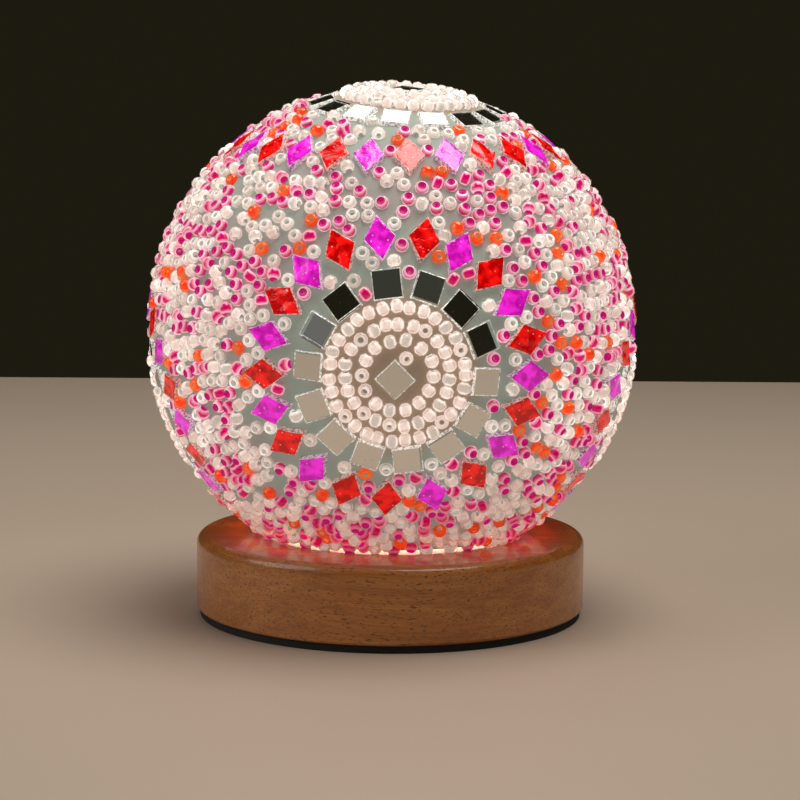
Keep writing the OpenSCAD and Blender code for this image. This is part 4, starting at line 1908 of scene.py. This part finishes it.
@dataclass(frozen=True)
class GlowRing:
    """Many weak red lights inside the foot of the globe, which only light up what is round them.

    Attributes:
        count: number of lights.
        watts: power of each.
        colour: their colour.
        size: their radius.
        out: their distance from the lamp's axis.
        up: their height over the table.
    """

    count: int = 40
    watts: float = 0.00064
    colour: Colour = (1.0, 0.2, 0.07)
    size: float = 4 * MM
    out: float = 47.5 * MM
    up: float = 27.2 * MM

    def hang(self) -> None:
        """Hangs the lights."""
        for step in range(self.count):
            turn = 2 * math.pi * (step + 0.5) / self.count
            data = bpy.data.lights.new(f"glow_{step + 1}", "POINT")
            data.energy = self.watts
            data.specular_factor = 0.0
            data.transmission_factor = 0.0
            data.color = self.colour
            data.shadow_soft_size = self.size
            made = linked(data.name, data)
            made.visible_camera = False
            made.visible_glossy = False
            made.visible_transmission = False
            made.location = (self.out * math.cos(turn), self.out * math.sin(turn), self.up)


@dataclass
class Studio:
    """The camera, the pale floor and the lights. Lengths are in metres, angles in degrees.

    Attributes:
        camera_at: where the camera stands.
        yaw: how far it is turned to the right.
        pitch: how far it looks down.
        roll: how far it is tipped.
        lens: its focal length, in millimetres.
        floor_back: how far the floor reaches behind the lamp.
        floor_front: how far it reaches in front of it.
        floor_side: how far it reaches to each side.
        floor_colour: its colour.
        room_colour: the dim light that comes from all round.
        lights: the soft lights.
        glow: the light inside the foot of the globe.
    """

    camera_at: tuple[float, float, float] = (0.0005, -0.5882, 0.1292)
    yaw: float = 0.21
    pitch: float = 6.16
    roll: float = 0.41
    lens: float = 86.1
    floor_back: float = 0.74
    floor_front: float = -1.2
    floor_side: float = 1.6
    floor_colour: Colour = (0.42, 0.335, 0.262)
    room_colour: Colour = (0.0125, 0.0112, 0.0055)
    lights: tuple[SoftLight, ...] = (
        SoftLight("key", (0.25, -0.15, 1.2), 0.9, 12, (1.0, 0.97, 0.91)),
        SoftLight("fill", (-0.95, -0.3, 0.7), 0.9, 4, (1.0, 0.95, 0.92)),
        SoftLight("back", (-0.1, 0.7, 1.75), 1.4, 6.5, (1.0, 0.94, 0.87)),
        SoftLight("wall", (0.1, -2.2, 0.75), 1.7, 0.2, (0.94, 1.0, 0.88)),
        SoftLight("window", (-1.3, -1.7, 0.3), 0.8, 0.2, (1.0, 0.98, 0.98)),
    )
    glow: GlowRing = GlowRing()

    def camera(self) -> None:
        """Stands the camera where the lamp was looked at from."""
        data = bpy.data.cameras.new("camera")
        data.lens = self.lens
        turn = (
            Matrix.Rotation(math.radians(-self.yaw), 4, "Z")
            @ Matrix.Rotation(math.radians(90 - self.pitch), 4, "X")
            @ Matrix.Rotation(math.radians(self.roll), 4, "Z")
        )
        made = linked("camera", data)
        made.matrix_world = Matrix.Translation(self.camera_at) @ turn
        bpy.context.scene.camera = made

    def floor(self) -> None:
        """Lays a plain pale floor."""
        bm = bmesh.new()
        bmesh.ops.create_grid(bm, x_segments=1, y_segments=1, size=0.5)
        middle = (self.floor_back + self.floor_front) / 2
        size = (2 * self.floor_side, self.floor_back - self.floor_front, 1)
        bmesh.ops.scale(bm, verts=bm.verts, vec=size)
        bmesh.ops.translate(bm, verts=bm.verts, vec=(0, middle, 0))
        g = Graph("floor")
        haze = g.noise(g.place(), 9, 2)
        colour = g.mix(haze, self.floor_colour, toned(self.floor_colour, 1.05))
        made = finished("floor", bm, [g.principled(Base_Color=colour, Roughness=0.55)])

    def room(self) -> None:
        """Dims the room."""
        world = bpy.data.worlds.new("room")
        world.use_nodes = True
        background = world.node_tree.nodes["Background"]
        background.inputs["Color"].default_value = (*self.room_colour, 1)
        background.inputs["Strength"].default_value = 1.0
        bpy.context.scene.world = world

    def build(self) -> None:
        """Builds the room."""
        self.camera()
        self.floor()
        for light in self.lights:
            light.hang()
        self.glow.hang()
        self.room()
        bpy.context.scene.view_settings.view_transform = "Standard"


# ---- The lamp ----


@dataclass
class Lamp:
    """The whole lamp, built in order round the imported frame.

    Attributes:
        medallions: the names of the medallions.
        plump: how much larger a real bead is than the plain barrel that stands for it.
        disc_reach: how far a medallion's own beads reach round its middle, in degrees.
        star_reach: how far its tiles reach.
    """

    medallions: tuple[str, ...] = ("front", "left", "right", "back", "top")
    plump: float = 1.1
    disc_reach: float = 20
    star_reach: float = 35

    def tiles(self, globe: Globe) -> list[TilePlace]:
        """Builds every mirror square and diamond.

        Args:
            globe: the sphere that they stand on.

        Returns:
            Where they stand.
        """
        glass, silver = TileGlass().make(), Silvering().make()
        mirror_edge = NippedEdge("mirror_edge", (1.0, 0.98, 0.93), 0.5).make()
        red = WavyGlass("red_glass", (0.42, 0.0, 0.0), (0.95, 0.006, 0.005), 0.6).make()
        pink = WavyGlass("pink_glass", (0.5, 0.004, 0.36), (0.9, 0.02, 0.7), 0.62).make()
        red_edge = NippedEdge("red_edge", (0.95, 0.6, 0.55), 0.3).make()
        pink_edge = NippedEdge("pink_edge", (0.95, 0.65, 0.85), 0.3).make()
        wavy = {"swell": 0.35 * MM, "border": 0.3 * MM, "splits": 10, "slant": 0.07}
        found: list[TilePlace] = []
        for name in self.medallions:
            found += TileSet(f"{name}_mirrors", "mirror_tile", glass, mirror_edge, silver).build(globe)
            found += TileSet(f"{name}_red_diamonds", "red_glass", red, red_edge, **wavy).build(globe)
            found += TileSet(f"{name}_pink_diamonds", "pink_glass", pink, pink_edge, **wavy).build(globe)
        return found

    def beads(self, globe: Globe, tiles: list[TilePlace]) -> None:
        """Builds every bead.

        Args:
            globe: the sphere that they lie on.
            tiles: where the tiles stand.
        """
        bead = solids_of(bpy.data.objects["front_bead_disc"])[0]
        diameter, length = (self.plump * size for size in bead_size(bead, globe))
        clear = BeadShape(diameter, length, hole=1.5 * MM, core=1.5 * MM)
        shapes = {
            BeadKind.CLEAR: clear,
            BeadKind.HOLLOW: BeadShape(diameter, length, hole=1.6 * MM, core=1.9 * MM),
            BeadKind.LINED: BeadShape(diameter, length, hole=1.0 * MM, core=2.4 * MM),
            BeadKind.ORANGE: clear,
        }
        milky, white, blush = (1.0, 0.93, 0.9), (1.0, 0.88, 0.84), (1.0, 0.78, 0.82)
        pearl, smoke, plum = (0.62, 0.46, 0.41), (0.22, 0.17, 0.15), (0.36, 0.0, 0.1)
        grey, magenta, rust = (0.44, 0.41, 0.36), (0.74, 0.004, 0.25), (0.6, 0.2, 0.09)
        orange, flame, ember = (0.95, 0.07, 0.01), (1.0, 0.2, 0.02), (0.85, 0.03, 0.002)
        finishes = [
            BeadFinish(BeadKind.CLEAR, milky, milky, pearl, white, grey, 0.85, 0.72, 0.58),
            BeadFinish(BeadKind.HOLLOW, milky, milky, smoke, white, grey, 0.85, 0.85, 0.58),
            BeadFinish(BeadKind.LINED, milky, magenta, plum, blush, magenta, 0.4, 0.62, 0.62),
            BeadFinish(BeadKind.ORANGE, orange, orange, ember, flame, rust, 0.7, 0.7, 0.62),
        ]
        layer = BeadLayer(shapes, {f.kind: f for f in finishes})
        BeadCover(globe, layer).build(tiles, [f"{name}_bead_disc" for name in self.medallions])

    def build(self, frame: dict) -> None:
        """Builds the lamp.
        """
        globe = Globe.measured()
        Fittings().dress(frame["nodes"])
        tiles = self.tiles(globe)
        self.beads(globe, tiles)
        axes = [globe.out_of(middles_of(f"{name}_bead_disc")) for name in self.medallions]
        discs = [(axis, math.radians(self.disc_reach)) for axis in axes]
        stars = [(axis, math.radians(self.star_reach)) for axis in axes]
        GroutCoat(globe, discs, stars).build(Grout().make())


def bead_size(corners: np.ndarray, globe: Globe) -> tuple[float, float]:
    """Diameter and length of a bead that lies on its side.

    Args:
        corners: its solid's corners.
        globe: the sphere that it lies on.

    Returns:
        Its diameter and its length, in metres.
    """
    middle = Vector(corners.mean(0))
    out = np.array(globe.out_at(middle))
    local = corners - corners.mean(0)
    height = local @ out
    flat = local - np.outer(height, out)
    spread = np.linalg.eigh(flat.T @ flat)[1]
    spans = sorted(float(np.ptp(flat @ spread[:, i])) for i in (1, 2))
    return float(np.ptp(height)), spans[0]


def main() -> None:
    """Loads the frame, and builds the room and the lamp."""
    logging.basicConfig(level=logging.INFO, format="%(name)s %(message)s")
    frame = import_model()
    Studio().build()
    Lamp().build(frame)


if __name__ == "__main__":
    main()
